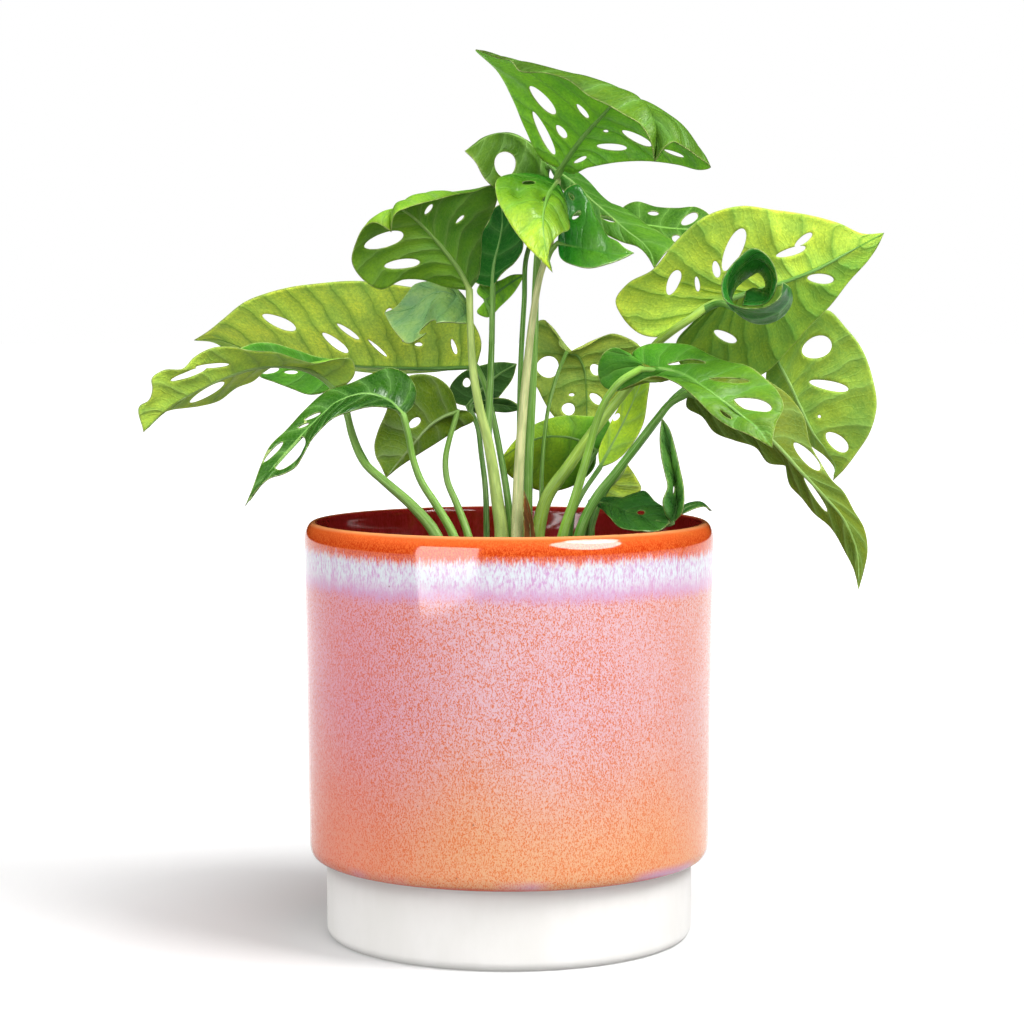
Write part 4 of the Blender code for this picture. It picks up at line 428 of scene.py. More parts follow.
        right=[(61, 145, -18), (64.5, 146.4, -15), (67.3, 146.6, -11)],
        holes=[]),
    "dry_sheath": dict(
        radii=(0.7, 0.7),
        stalk=[(7.2, 104, -9), (7.4, 112, -9)],
        rib=[(7.3, 110, -9), (7.3, 125, -9), (7, 138, -9), (6.2, 146, -9.5), (5.1, 152.5, -10)],
        left=[(9, 118, -8), (9.3, 130, -8), (8.6, 140, -8.5), (7, 147, -9)],
        right=[(5.8, 118, -10), (5.2, 130, -10.5), (5, 140, -10.5), (4.8, 147, -10.5)],
        holes=[]),
}

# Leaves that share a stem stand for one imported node.
NODES = {
    "crown_leaves": ["crown", "curl_left", "strip_right"],
    "front_leaves": ["bright_front", "dark_right"],
    "left_stem": ["olive", "olive_back", "small_back", "glossy_curl"],
    "leaf_behind_right": ["behind_right"],
    "leaf_light_left": ["light_left"],
    "leaf_far_left": ["far_left", "short_left"],
    "leaf_slit_left": ["slit_left"],
    "leaf_olive_low": ["olive_low"],
    "leaf_dark_back": ["dark_back", "dark_strip"],
    "leaf_heart_right": ["heart_right", "rolled_young"],
    "leaf_back_right": ["back_right"],
    "leaf_long_right": ["long_right"],
    "leaf_arch_front": ["arch_front"],
    "leaf_small_mid": ["small_mid"],
    "leaf_low_mid": ["low_mid"],
    "leaf_upright_mid": ["upright_mid"],
    "leaf_low_right": ["low_right"],
    "leaf_withered": ["withered", "twisted", "tip_over_rim"],
    "dry_sheath": ["dry_sheath"],
}

# Colours of each leaf, as sRGB hex: upper face near the base and near the tip,
# lower face, veins, stalk.
LOOKS = {
    "crown": dict(top="30450f", tip="4c761b", under="7cc734", vein="78ab4e", stalk="6da03a"),
    "curl_left": dict(top="43701b", tip="557d23", under="235211", vein="93bd62", stalk="5c9436"),
    "strip_right": dict(top="2f6616", tip="487d1d", under="1b4c0e", vein="78a74d", stalk="5c9436"),
    # bright_front's dark top near its base is painted shade under its hooded fold, and its very pale stalk
    # is partly a painted highlight along the stem.
    "bright_front": dict(top="2c7a1c", tip="b1dd3b", under="5ea028", vein="8ccc4c", stalk="ddd99e"),
    "dark_right": dict(top="14751a", tip="5c962c", under="8cb84c", vein="4c8c34", stalk="7cac40"),
    "behind_right": dict(top="336014", tip="3a6817", under="26510f", vein="7bad4b", stalk="5c9436"),
    # olive's very pale stalk is partly a painted highlight along the stem.
    "olive": dict(top="649926", tip="73a028", under="53841f", vein="7ea04c", stalk="c8dd7a"),
    "olive_back": dict(top="165b12", tip="145611", under="145611", vein="588c40", stalk="5c8c34"),
    "small_back": dict(top="7dbf32", tip="7dbf32", under="74b12d", vein="508444", stalk="50842c"),
    "glossy_curl": dict(top="76a158", tip="769b5f", under="3d6c2f", vein="649460", stalk="4c8030"),
    "light_left": dict(top="84b83e", tip="a4cc4a", under="b8dd56", vein="4c8c30", stalk="5c9034"),
    "far_left": dict(top="7cb236", tip="7b9b26", under="9bc148", vein="7d984e", stalk="7cac44"),
    "short_left": dict(top="4f9524", tip="599926", under="44841f", vein="6ca44c", stalk="4c8428"),
    "slit_left": dict(top="225010", tip="2c5c14", under="173f0a", vein="78ac54", stalk="7cb040"),
    "olive_low": dict(top="42681e", tip="648a26", under="60811e", vein="8ca068", stalk="80b044"),
    "dark_back": dict(top="345e22", tip="2c5420", under="2c5420", vein="5c8844", stalk="44702c"),
    "dark_strip": dict(top="345e22", tip="2c5420", under="2c5420", vein="5c8844", stalk="44702c"),
    "heart_right": dict(top="86bb3a", tip="b6d54e", under="a2c846", vein="5a9434", stalk="9fc143"),
    "rolled_young": dict(top="2c7a24", tip="348430", under="1c5a1a", vein="3c8434", stalk="3c8024"),
    "back_right": dict(top="9dc64c", tip="9dc04c", under="81aa3f", vein="92bc5b", stalk="4c8830"),
    "long_right": dict(top="54731d", tip="b4c43c", under="586f19", vein="90b35b", stalk="5c9c30"),
    "arch_front": dict(top="3e7e1d", tip="577f1e", under="5f6f19", vein="70a843", stalk="8cc03c"),
    "small_mid": dict(top="acc460", tip="b2c764", under="96b34c", vein="608c30", stalk="5c8c2c"),
    "low_mid": dict(top="509b26", tip="b0d438", under="458b21", vein="689440", stalk="4c8028"),
    "upright_mid": dict(top="b9d739", tip="bccc3c", under="a6d037", vein="9cc468", stalk="4c8428"),
    "low_right": dict(top="c8da4f", tip="c8da5b", under="bfda46", vein="9cb474", stalk="5c8c34"),
    "withered": dict(top="1c4c1a", tip="2c5c20", under="184018", vein="3c6c30", stalk="3c5c20"),
    "twisted": dict(top="4c8a3a", tip="6ca44c", under="447c34", vein="3c6c30", stalk="2c4c1c"),
    "tip_over_rim": dict(top="2c5c20", tip="3c6420", under="204818", vein="3c6c30", stalk="2c4c1c"),
    "dry_sheath": dict(top="7c5028", tip="94683c", under="6c4424", vein="583818", stalk="6c4828"),
}
# How much brighter or darker the left and the right half of a leaf is painted than its LOOKS: painted light
# and shade where a half faces the light or lies in shade.
HALF_LIGHT_AND_SHADE = {"crown": (0.95, 1.05), "olive": (0.85, 1.2), "light_left": (1.15, 0.8), "dark_right": (0.9, 1.1),
          "slit_left": (0.75, 1.1), "heart_right": (0.7, 1.1), "back_right": (0.85, 1.1),
          "arch_front": (1.05, 0.95), "strip_right": (1.15, 0.85), "long_right": (0.9, 1.1)}
# Hollows (below zero) and bulges of a blade, where the eye sees them: across, up, radius, depth.
DENTS = {
    "bright_front": [(11.5, 252.5, 2.2, -2.2), (3, 253.5, 2.6, -2.6), (7.5, 248, 3.2, 1.6),
                     (1.5, 247.5, 4, 1.2), (16, 249, 2.5, 1.0)],
    "dark_right": [(22.5, 251, 3, -1.8), (22.5, 246, 3, -1.6), (30, 239, 4, 1.2)],
    "arch_front": [(79, 182, 6, -1.6), (62, 196, 5, 1.2), (84, 176, 5, 1.0)],
    "olive": [(-30, 233, 5, -1.2), (-18, 240, 5, 1.2)],
    "glossy_curl": [(-24, 215, 4, 1.5), (-32, 212, 4, -1.5)],
    "light_left": [(-70, 214, 7, 1.2), (-45, 212, 7, -1.2), (-30, 208, 6, 1.2)],
    "heart_right": [(60, 222, 6, 1.2), (90, 240, 6, -1.2), (80, 200, 7, 1.2), (105, 232, 6, 1.0)],
}
# Roughness of the leaves; those that GLOSS leaves out are matt.
MATT, SATIN, GLOSSY = 0.52, 0.42, 0.3
GLOSS = {"bright_front": GLOSSY, "glossy_curl": GLOSSY, "rolled_young": GLOSSY, "slit_left": GLOSSY,
         "withered": GLOSSY, "twisted": GLOSSY, "arch_front": SATIN, "crown": SATIN, "dry_sheath": 0.75,
         "dark_right": GLOSSY, "curl_left": SATIN}


def shade(code):
    """Linear RGB of an sRGB hex code."""
    value = np.array([int(code[k:k + 2], 16) for k in (0, 2, 4)]) / 255
    return np.where(value <= 0.04045, value / 12.92, ((value + 0.055) / 1.055) ** 2.4)


def smooth(low, high, x):
    """0 below low, 1 above high, and 3q^2 - 2q^3 between them."""
    q = np.clip((x - low) / (high - low), 0, 1)
    return q * q * (3 - 2 * q)


def place(points):
    """World millimetres of (across, up, depth) picks: each slides along its line of sight."""
    p = np.asarray(points, float)
    depth = p[:, 2] * DEPTH_STRETCH
    scale = 1 + depth / EYE_DISTANCE
    return np.stack([EYE_ACROSS + (p[:, 0] - EYE_ACROSS) * scale, depth,
                     EYE_UP + (p[:, 1] - EYE_UP) * scale], 1)


def seen(p):
    """(across, up) at which the eye sees positions in world millimetres."""
    scale = 1 + p[..., 1] / EYE_DISTANCE
    return np.stack([EYE_ACROSS + (p[..., 0] - EYE_ACROSS) / scale,
                     EYE_UP + (p[..., 2] - EYE_UP) / scale], -1)


def rail(points, steps=24):
    """A smooth line through the picks, by cubic Hermite spans on their chord lengths.

    Returns dense positions, their shares of the whole length, and the length.
    """
    p = place(points)
    chord = np.concatenate([[0], np.cumsum(np.linalg.norm(np.diff(p, axis=0), axis=1))])
    slope = np.gradient(p, chord, axis=0)
    x = np.tile(np.arange(steps) / steps, len(p) - 1)[:, None]
    i = np.repeat(np.arange(len(p) - 1), steps)
    h = np.diff(chord)[i][:, None]
    dense = (p[i] * (1 + 2 * x) * (1 - x) ** 2 + slope[i] * h * x * (1 - x) ** 2
             + p[i + 1] * x * x * (3 - 2 * x) + slope[i + 1] * h * x * x * (x - 1))
    dense = np.vstack([dense, p[-1:]])
    run = np.concatenate([[0], np.cumsum(np.linalg.norm(np.diff(dense, axis=0), axis=1))])
    return dense, run / run[-1], run[-1]


def along(line, share):
    """Positions at the given shares of a rail's length."""
    return np.stack([np.interp(share, line[1], line[0][:, k]) for k in range(3)], -1)


SIDES = ("left", "right")
# Shares along a blade at which its widths are measured.
SHARES = np.linspace(0, 1, 121)
# Mesh step in millimetres; in steps, the rows of an even lattice and the filling's distance
# from the rib and from every edge; outline points nearer than CLOSE millimetres are one.
GRID = 0.95
ROW, FROM_RIB, FROM_EDGE = 0.87, 0.55, 0.5
CLOSE = 0.05
# Side veins: millimetres between two, their lean towards the tip and how it bends, and the
# least count and share of a spacing that two holes next to each other keep apart.
VEIN_SPACING = 9.5
VEIN_LEAN, VEIN_BEND = 0.07, 1.4
LEAST_COUNT, LEAST_SPACE = 0.45, 0.3
# Holes: points of an outline, its egg shape, how far along and across the blade it may
# reach, the shares (s, t) searched for it, and what the Newton steps after that keep to.
HOLE_POINTS = 28
EGG = 0.12
HOLE_REACH = (0.2, 0.45)
SEARCH = (np.linspace(0.01, 0.99, 160), np.linspace(0, 1.1, 40))
NEWTON_STEPS = 4
NUDGE, LONGEST_MOVE = 1e-4, 0.03
LEAST_SHARES, MOST_SHARES = (0.005, 0), (0.995, 1.15)
EDGE_ON = 1.0
LEAST_FROM_RIB = 0.02


class Blade:
    """A leaf blade over its flat plan: u along the leaf, v across it, both in millimetres.

    u = s * length and v = +-t * width(s), where s is the share along the leaf, t the share
    from the rib to the margin, and v is positive on the left half.
    """

    def __init__(self, key):
        leaf = LEAVES[key]
        self.key = key
        self.gathered = "apart" not in leaf
        self.fan = leaf.get("fan", 1.4 if self.gathered else 1.0)
        self.rib = rail(leaf["rib"])
        first, last = (leaf["rib"][:1], leaf["rib"][-1:]) if self.gathered else ([], [])
        self.margin = {side: rail(first + leaf[side] + last) for side in SIDES}
        self.middle = {side: rail(first + leaf[side + "_mid"] + last)
                       for side in SIDES if side + "_mid" in leaf}
        self.length = (self.rib[2] + self.margin["left"][2] + self.margin["right"][2]) / 3
        self.width = {side: self.measure(side) for side in SIDES}
        self.holes = [self.hole_loop(hole) for hole in leaf["holes"]]

    def surface(self, side, s, t):
        """rib (1-t)(1-2t) + middle 4t(1-t) + margin t(2t-1): a parabola across each half."""
        t = np.asarray(t, float)[..., None]
        rib = along(self.rib, np.asarray(s, float) ** self.fan)
        margin = along(self.margin[side], s)
        middle = along(self.middle[side], s) if side in self.middle else (rib + margin) / 2
        return rib * (1 - t) * (1 - 2 * t) + middle * 4 * t * (1 - t) + margin * t * (2 * t - 1)

    def sight(self, side, s, t):
        """(across, up) at which the eye sees shares on a half."""
        return seen(self.surface(side, s, t))

    def measure(self, side):
        """Widths of a half at evenly spaced shares, rib to middle to margin."""
        rows = [self.surface(side, SHARES, SHARES * 0 + t) for t in (0, 0.5, 1)]
        return np.linalg.norm(rows[1] - rows[0], axis=1) + np.linalg.norm(rows[2] - rows[1], axis=1)

    def flat(self, side, s, t):
        """Flat (u, v) of shares on a half."""
        sign = 1 if side == "left" else -1
        return np.stack([s * self.length, sign * t * np.interp(s, SHARES, self.width[side])], -1)

    def lay(self, uv):
        """Positions in space, s and t of flat points."""
        s = np.clip(uv[:, 0] / self.length, 0, 1)
        left = uv[:, 1] >= 0
        width = np.where(left, *(np.interp(s, SHARES, self.width[side]) for side in SIDES))
        t = np.clip(np.abs(uv[:, 1]) / np.maximum(width, 1e-6), 0, 1)
        spots = np.where(left[:, None], *(self.surface(side, s, t) for side in SIDES))
        return spots, s, t

    def hole_loop(self, hole):
        """Flat outline of a hole: an egg as the eye sees it, traced back onto the blade.

        Each point starts at the nearest node of a grid near the hole's centre and takes a
        few Newton steps on (s, t); it stays where the blade is seen edge on.
        """
        side, x0, z0, x1, z1, width = hole
        turn = np.linspace(0, 2 * np.pi, HOLE_POINTS, endpoint=False)[:, None]
        centre, axis = np.array([x0 + x1, z0 + z1]) / 2, np.array([x1 - x0, z1 - z0]) / 2
        normal = np.array([-axis[1], axis[0]]) / np.linalg.norm(axis) * width / 2
        target = centre + axis * np.cos(turn) + normal * np.sin(turn) * (1 + EGG * np.cos(turn))
        s, t = np.meshgrid(*SEARCH, indexing="ij")
        view = self.sight(side, s, t)
        home = np.argmin(((view - centre) ** 2).sum(-1))
        near = (np.abs(s - s.flat[home]) < HOLE_REACH[0]) & (np.abs(t - t.flat[home]) < HOLE_REACH[1])
        s, t, view = s[near], t[near], view[near]
        nearest = ((view[None] - target[:, None]) ** 2).sum(-1).argmin(1)
        at = np.stack([s[nearest], t[nearest]], -1)
        here = self.sight(side, *at.T)
        best, miss = at, np.linalg.norm(here - target, axis=1)
        for _ in range(NEWTON_STEPS):
            ds = (self.sight(side, at[:, 0] + NUDGE, at[:, 1]) - here) / NUDGE
            dt = (self.sight(side, at[:, 0], at[:, 1] + NUDGE) - here) / NUDGE
            off = target - here
            det = ds[:, 0] * dt[:, 1] - ds[:, 1] * dt[:, 0]
            det = np.where(np.abs(det) < EDGE_ON, np.inf, det)
            move = np.stack([off[:, 0] * dt[:, 1] - off[:, 1] * dt[:, 0],
                             ds[:, 0] * off[:, 1] - ds[:, 1] * off[:, 0]], -1) / det[:, None]
            at = np.clip(at + np.clip(move, -LONGEST_MOVE, LONGEST_MOVE), LEAST_SHARES, MOST_SHARES)
            here = self.sight(side, *at.T)
            now = np.linalg.norm(here - target, axis=1)
            best, miss = np.where((now < miss)[:, None], at, best), np.minimum(now, miss)
        loop = self.flat(side, best[:, 0], np.maximum(best[:, 1], LEAST_FROM_RIB))
        return loop * 0.5 + (np.roll(loop, 1, 0) + np.roll(loop, -1, 0)) * 0.25

    def outline(self):
        """Flat outline, about one point a grid step, and the rib's flat line."""
        count = {side: max(12, round(self.margin[side][2] / GRID)) for side in SIDES}
        go = np.arange(count["left"] + 1) / count["left"]
        back = 1 - np.arange(count["right"] + 1) / count["right"]
        loop = [self.flat("left", go, np.ones(len(go))), self.flat("right", back, np.ones(len(back)))]
        if not self.gathered:
            loop.append(np.zeros((1, 2)))
        loop = np.vstack(loop)
        loop = loop[np.linalg.norm(loop - np.roll(loop, 1, 0), axis=1) > CLOSE]
        steps = max(6, round(self.rib[2] / GRID))
        rib = (np.arange(1, steps) / steps) ** (1 / self.fan)
        return loop, np.stack([rib * self.length, rib * 0], 1)

    def vein_phase(self, s, t):
        """Count of side veins passed: rises along the leaf, later near the margin.

        Veins lean towards the tip as s - lean * t^bend, and the count is bent so that each
        hole lies halfway between two veins.
        """
        count = max(4, round(self.length / VEIN_SPACING))
        order = s - VEIN_LEAN * t ** VEIN_BEND
        centres = []
        for loop in self.holes:
            _, hole_s, hole_t = self.lay(loop.mean(0)[None])
            centres.append(hole_s[0] - VEIN_LEAN * hole_t[0] ** VEIN_BEND)
        spots, counts = [-VEIN_LEAN], [-VEIN_LEAN * count]
        for centre in sorted(centres):
            target = math.floor(centre * count) + 0.5
            if target > counts[-1] + LEAST_COUNT and centre > spots[-1] + LEAST_SPACE / count:
                spots.append(centre)
                counts.append(target)
        spots.append(1.0)
        counts.append(max(count, counts[-1] + 0.5))
        return np.interp(order, spots, counts), count


def inside(points, loop):
    """True where a level ray from the point crosses the closed loop an odd number of times."""
    a, b = loop, np.roll(loop, -1, 0)
    x, y = points[:, :1], points[:, 1:]
    spans = (a[:, 1] > y) != (b[:, 1] > y)
    rise = np.where(b[:, 1] == a[:, 1], 1e-12, b[:, 1] - a[:, 1])
    return (spans & (x < a[:, 0] + (y - a[:, 1]) * (b[:, 0] - a[:, 0]) / rise)).sum(1) % 2 == 1


def clearance(points, loop):
    """Distance from each point to the nearest stretch of the closed loop."""
    stretch = np.roll(loop, -1, 0) - loop
    offset = points[:, None] - loop
    share = np.clip((offset * stretch).sum(-1) / np.maximum((stretch ** 2).sum(-1), 1e-12), 0, 1)
    return np.linalg.norm(offset - share[..., None] * stretch, axis=-1).min(1)


def plan(blade):
    """Flat points and triangles of a blade: outline, rib, holes and an even staggered filling."""
    outline, rib = blade.outline()
    loops = [outline] + blade.holes
    low, high = outline.min(0), outline.max(0)
    rows = np.arange(low[1], high[1], GRID * ROW)
    columns = np.arange(low[0], high[0], GRID)
    u, v = np.meshgrid(columns, rows)
    u = u + (np.arange(len(rows)) % 2)[:, None] * GRID / 2
    fill = np.stack([u.ravel(), v.ravel()], 1)
    fill = fill[inside(fill, outline) & (np.abs(fill[:, 1]) > GRID * FROM_RIB)]
    for loop in loops:
        fill = fill[clearance(fill, loop) > GRID * FROM_EDGE]
        if loop is not outline:
            fill = fill[~inside(fill, loop)]
    rib = rib[inside(rib, outline)]
    edges, points, start = [], [], 0
    for loop in loops:
        number = start + np.arange(len(loop))
        edges.append(np.stack([number, np.roll(number, -1)], 1))
        points.append(loop)
        start += len(loop)
    number = start + np.arange(len(rib))
    edges.append(np.stack([number[:-1], number[1:]], 1))
    points = np.vstack(points + [rib, fill])
    made = delaunay_2d_cdt([Vector(p) for p in points.tolist()], np.vstack(edges).tolist(), [], 0, 1e-5)
    corners = np.array([tuple(c) for c in made[0]])
    triangles = np.array(made[2])
    middle = corners[triangles].mean(1)
    kept = inside(middle, outline)
    for loop in blade.holes:
        kept &= ~inside(middle, loop)
    used, numbers = np.unique(triangles[kept], return_inverse=True)
    return corners[used], numbers.reshape(-1, 3), loops


def normals(spots, triangles):
    """Unit normals at the points, weighted by the area of the triangles that meet there."""
    a, b, c = (spots[triangles[:, k]] for k in range(3))
    face = np.cross(b - a, c - a)
    total = np.zeros_like(spots)
    for k in range(3):
        np.add.at(total, triangles[:, k], face)
    return total / np.maximum(np.linalg.norm(total, axis=1, keepdims=True), 1e-12)


def ripple(spots, size, seed):
    """A cheap smooth noise in -1..1: the mean of six plane waves with seeded directions."""
    draw = np.random.default_rng(seed)
    waves = draw.normal(size=(6, 3))
    waves *= (2 * np.pi / size / np.linalg.norm(waves, axis=1) * draw.uniform(0.6, 1.5, 6))[:, None]
    return np.sin(spots @ waves.T + draw.uniform(0, 6.3, 6)).mean(1)


# Relief of a blade in millimetres: the groove over its rib, the rib's half width at the tip
# and its growth to the base, broad and fine waves with their lengths, and its veins' ridges.
GROOVE = 0.35
RIB_TIP, RIB_GROWTH = 0.5, 0.9
BROAD, BROAD_LENGTH = 0.45, 22
FINE, FINE_LENGTH, FINE_SEED = 0.22, 8, 7
RIDGE, RIDGE_WIDTH = 0.12, 0.45
# How a half's painted light and shade tells on red, green and blue.
HALF_SHADE_POWERS = (1.5, 0.9, 1.0)


def blade_arrays(blade, settings):
    """A blade as one closed thin body: points, triangles and the values its material reads.

    Both faces stand half a thickness from the blade's surface along its normal.  Between
    veins the blade swells by puff * sin(pi * q), q being the distance to the nearest vein in
    vein spacings, and it thins towards its edges; walls close every edge.
    """
    uv, triangles, loops = plan(blade)
    spots, s, t = blade.lay(uv)
    n = len(spots)
    edge = np.min([clearance(uv, loop) for loop in loops], axis=0)
    rib = np.abs(uv[:, 1])
    phase, count = blade.vein_phase(s, t)
    q = np.abs(phase - np.round(phase))
    up = normals(spots, triangles)
    body = smooth(0, 3, edge)
    swell = settings.puff / MM * np.sin(np.pi * q) ** 0.8 * body * smooth(0.3, 4, rib)
    rib_size = RIB_TIP + RIB_GROWTH * (1 - s)
    groove = -GROOVE * np.exp(-(rib / rib_size) ** 2) * body
    crumple = (BROAD * ripple(spots, BROAD_LENGTH, len(blade.key))
               + FINE * ripple(spots, FINE_LENGTH, FINE_SEED)) * smooth(0, 6, edge)
    half = settings.thickness / MM / 2 * (0.5 + 0.5 * smooth(0, 1.2, edge))
    dent = np.zeros(n)
    for across, rise, radius, depth in DENTS.get(blade.key, ()):
        far = np.linalg.norm(seen(spots) - (across, rise), axis=1) / radius
        dent += depth * np.exp(-far ** 2)
    spots = spots + up * (swell + groove + crumple + dent)[:, None]
    up = normals(spots, triangles)
    vein_ridge = RIDGE * np.exp(-(q * blade.length / count / RIDGE_WIDTH) ** 2) * body
    above = spots + up * half[:, None]
    below = spots - up * (half + vein_ridge)[:, None]
    key = np.concatenate([triangles[:, k] * n + triangles[:, (k + 1) % 3] for k in range(3)])
    back = np.concatenate([triangles[:, (k + 1) % 3] * n + triangles[:, k] for k in range(3)])
    rim = key[~np.isin(key, back)]
    a, b = rim // n, rim % n
    walls = np.concatenate([np.stack([a, a + n, b + n], 1), np.stack([a, b + n, b], 1)])
    faces = np.concatenate([triangles, triangles[:, ::-1] + n, walls])
    look = LOOKS[blade.key]
    half_light = HALF_LIGHT_AND_SHADE.get(blade.key, (1, 1))
    half_shading = np.where(uv[:, 1] >= 0, half_light[0], half_light[1])
    mix = smooth(0.15, 0.95, s)[:, None]
    top = shade(look["top"]) * (1 - mix) + shade(look["tip"]) * mix
    under = shade(look["under"]) * np.ones((n, 1))
    # Painted light and shade of each half, eased in away from the rib.
    shading_fade = 1 + (half_shading - 1) * smooth(0, 5, rib)
    tint = np.concatenate([top, under]) * np.tile(shading_fade, 2)[:, None] ** HALF_SHADE_POWERS
    values = {
        "side": np.repeat([1.0, 0.0], n),
        "phase": np.tile(phase, 2),
        "gap": np.full(2 * n, blade.length / count),
        "rib": np.tile(rib / rib_size, 2),
        "edge": np.tile(edge, 2),
    }
    return dict(points=np.concatenate([above, below]), faces=faces, slot=np.zeros(len(faces), int),
                values=values, tint=tint, vein=np.tile(shade(look["vein"]), (2 * n, 1)),
                uv=np.tile(uv, (2, 1)))


def quads(rows, steps):
    """Corner numbers of the quads between closed rings: here, next, next above, above."""
    i, j = np.meshgrid(np.arange(rows - 1), np.arange(steps), indexing="ij")
    a, b = i * steps + j, i * steps + (j + 1) % steps
    return a, b, b + steps, a + steps


def tube(path, radii, sides=14, flute=0.03):
    """A closed tube along a path of centres with a radius at each.

    A ring's points are centre + r (1 + flute cos 5a) (p cos a + q sin a), where p and q are
    square to the path and kept from turning by one fixed reference axis.
    """
    tangent = np.gradient(path, axis=0)
    tangent /= np.linalg.norm(tangent, axis=1, keepdims=True)
    reference = np.eye(3)[np.abs(tangent).max(0).argmin()]
    p = np.cross(tangent, reference)
    p /= np.linalg.norm(p, axis=1, keepdims=True)
    q = np.cross(tangent, p)
    angle = np.arange(sides) * 2 * np.pi / sides
    reach = radii[:, None] * (1 + flute * np.cos(5 * angle))
    ring = (path[:, None] + reach[..., None] * (np.cos(angle)[:, None] * p[:, None]
                                                + np.sin(angle)[:, None] * q[:, None]))
    rows = len(path)
    points = np.concatenate([ring.reshape(-1, 3), path[:1], path[-1:]])
    a, b, c, d = quads(rows, sides)
    skin = np.stack([a, b, c, a, c, d], -1).reshape(-1, 3)
    j = np.arange(sides)
    foot = np.stack([(j + 1) % sides, j, np.full(sides, rows * sides)], 1)
    top = (rows - 1) * sides
    tip = np.stack([top + j, top + (j + 1) % sides, np.full(sides, rows * sides + 1)], 1)
    run = np.concatenate([[0], np.cumsum(np.linalg.norm(np.diff(path, axis=0), axis=1))])
    u = np.concatenate([np.repeat(run, sides), run[:1], run[-1:]])
    v = np.concatenate([np.tile(angle / (2 * np.pi), rows), [0, 0]])
    return points, np.concatenate([skin, foot, tip]), np.stack([u, v], 1)


# Stalks: millimetres a ring, how much of a leaf's second radius the upper end keeps, the
# taper's power, and the swelling below the blade with its reach in millimetres.
RING_STEP = 2
END_SHARE, TAPER = 0.8, 1.5
KNEE, KNEE_REACH = 0.12, 5
# Ribs: where they end, their last radius, what they keep of the stalk's, their taper's power,
# how far the look across them reaches, and how deep they lie in the blade.
RIB_END, RIB_LAST, RIB_SHARE, RIB_TAPER = 0.97, 0.22, 0.85, 1.2
LOOK_AHEAD, LOOK_ACROSS = 0.01, 0.12
SINK, SINK_SHARE = 0.15, 0.5


def stalk_arrays(blade):
    """The stalk and, past the blade's base, its rib: one tapering tube.

    The stalk's radius is end + (foot - end)(1 - x)^taper along it; under the blade the rib
    shrinks to RIB_LAST and stands out of the lower face.
    """
    leaf = LEAVES[blade.key]
    line = rail(leaf["stalk"])
    share = np.linspace(0, 1, max(6, round(line[2] / RING_STEP)) + 1)
    foot, end = leaf["radii"][0], leaf["radii"][1] * END_SHARE
    stalk = along(line, share)
    radii = end + (foot - end) * (1 - share) ** TAPER
    radii *= 1 + KNEE * np.exp(-((share - 1) * line[2] / KNEE_REACH) ** 2)
    if blade.gathered:
        s = np.linspace(0, RIB_END, max(6, round(blade.rib[2] / RING_STEP)) + 1)[1:]
        share = s ** (1 / blade.fan)
        rib = along(blade.rib, s)
        ahead = along(blade.rib, np.minimum(s + LOOK_AHEAD, 1)) - along(blade.rib, s - LOOK_AHEAD)
        left, right = (blade.surface(side, share, share * 0 + LOOK_ACROSS) for side in SIDES)
        up = np.cross(ahead, left - right)
        up /= np.maximum(np.linalg.norm(up, axis=1, keepdims=True), 1e-9)
        size = RIB_LAST + (end * RIB_SHARE - RIB_LAST) * (1 - s) ** RIB_TAPER
        sink = (SINK + SINK_SHARE * size) * smooth(0, 0.1, s)
        stalk = np.vstack([stalk, rib - up * sink[:, None]])
        radii = np.concatenate([radii, size])
    points, faces, uv = tube(stalk, radii)
    n = len(points)
    look = LOOKS[blade.key]
    values = {"side": np.zeros(n), "phase": np.zeros(n), "gap": np.ones(n), "rib": np.zeros(n),
              "edge": np.full(n, 9.0)}
    uv = np.stack([uv[:, 0], uv[:, 1] * 2 * np.pi * foot], 1)
    past = smooth(line[2] - 2, line[2] + 8, uv[:, 0])[:, None]
    tint = shade(look["stalk"]) * (1 - past) + shade(look["vein"]) * past
    return dict(points=points, faces=faces, slot=np.ones(len(faces), int), values=values, tint=tint,
                vein=np.tile(shade(look["vein"]), (n, 1)), uv=uv)


def joined(parts):
    """One set of arrays made of several."""
    starts = np.cumsum([0] + [len(part["points"]) for part in parts[:-1]])
    made = {name: np.concatenate([part[name] for part in parts])
            for name in ("points", "slot", "tint", "vein", "uv")}
    made["faces"] = np.concatenate([part["faces"] + start for part, start in zip(parts, starts)])
    made["values"] = {name: np.concatenate([part["values"][name] for part in parts])
                      for name in parts[0]["values"]}
    return made


# UV units a millimetre.
UV_SCALE = 0.01


def mesh_object(name, made, materials):
    """A mesh object from arrays in millimetres, with its attributes, UV map and materials."""
    points, faces = made["points"], made["faces"]
    mesh = bpy.data.meshes.new(name)
    mesh.vertices.add(len(points))
    mesh.vertices.foreach_set("co", (points * MM).ravel())
    mesh.loops.add(faces.size)
    mesh.loops.foreach_set("vertex_index", faces.ravel())
    mesh.polygons.add(len(faces))
    mesh.polygons.foreach_set("loop_start", np.arange(0, faces.size, faces.shape[1]))
    mesh.polygons.foreach_set("material_index", made.get("slot", np.zeros(len(faces), int)))
    mesh.polygons.foreach_set("use_smooth", np.ones(len(faces), bool))
    for key, value in made.get("values", {}).items():
        mesh.attributes.new(key, "FLOAT", "POINT").data.foreach_set("value", value)
    for key in ("tint", "vein"):
        if key in made:
            colour = np.concatenate([made[key], np.ones((len(points), 1))], 1)
            mesh.attributes.new(key, "FLOAT_COLOR", "POINT").data.foreach_set("color", colour.ravel())
    if "uv" in made:
        layer = mesh.uv_layers.new(name="surface")
        layer.data.foreach_set("uv", (made["uv"][faces.ravel()] * UV_SCALE).ravel())
    mesh.update()
    mesh.validate()
    for material in materials:
        mesh.materials.append(material)
    piece = bpy.data.objects.new(name, mesh)
    bpy.context.scene.collection.objects.link(piece)
    return piece


def own(piece, node):
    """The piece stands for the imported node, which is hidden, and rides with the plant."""
    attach(piece, "root")
    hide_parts(node)


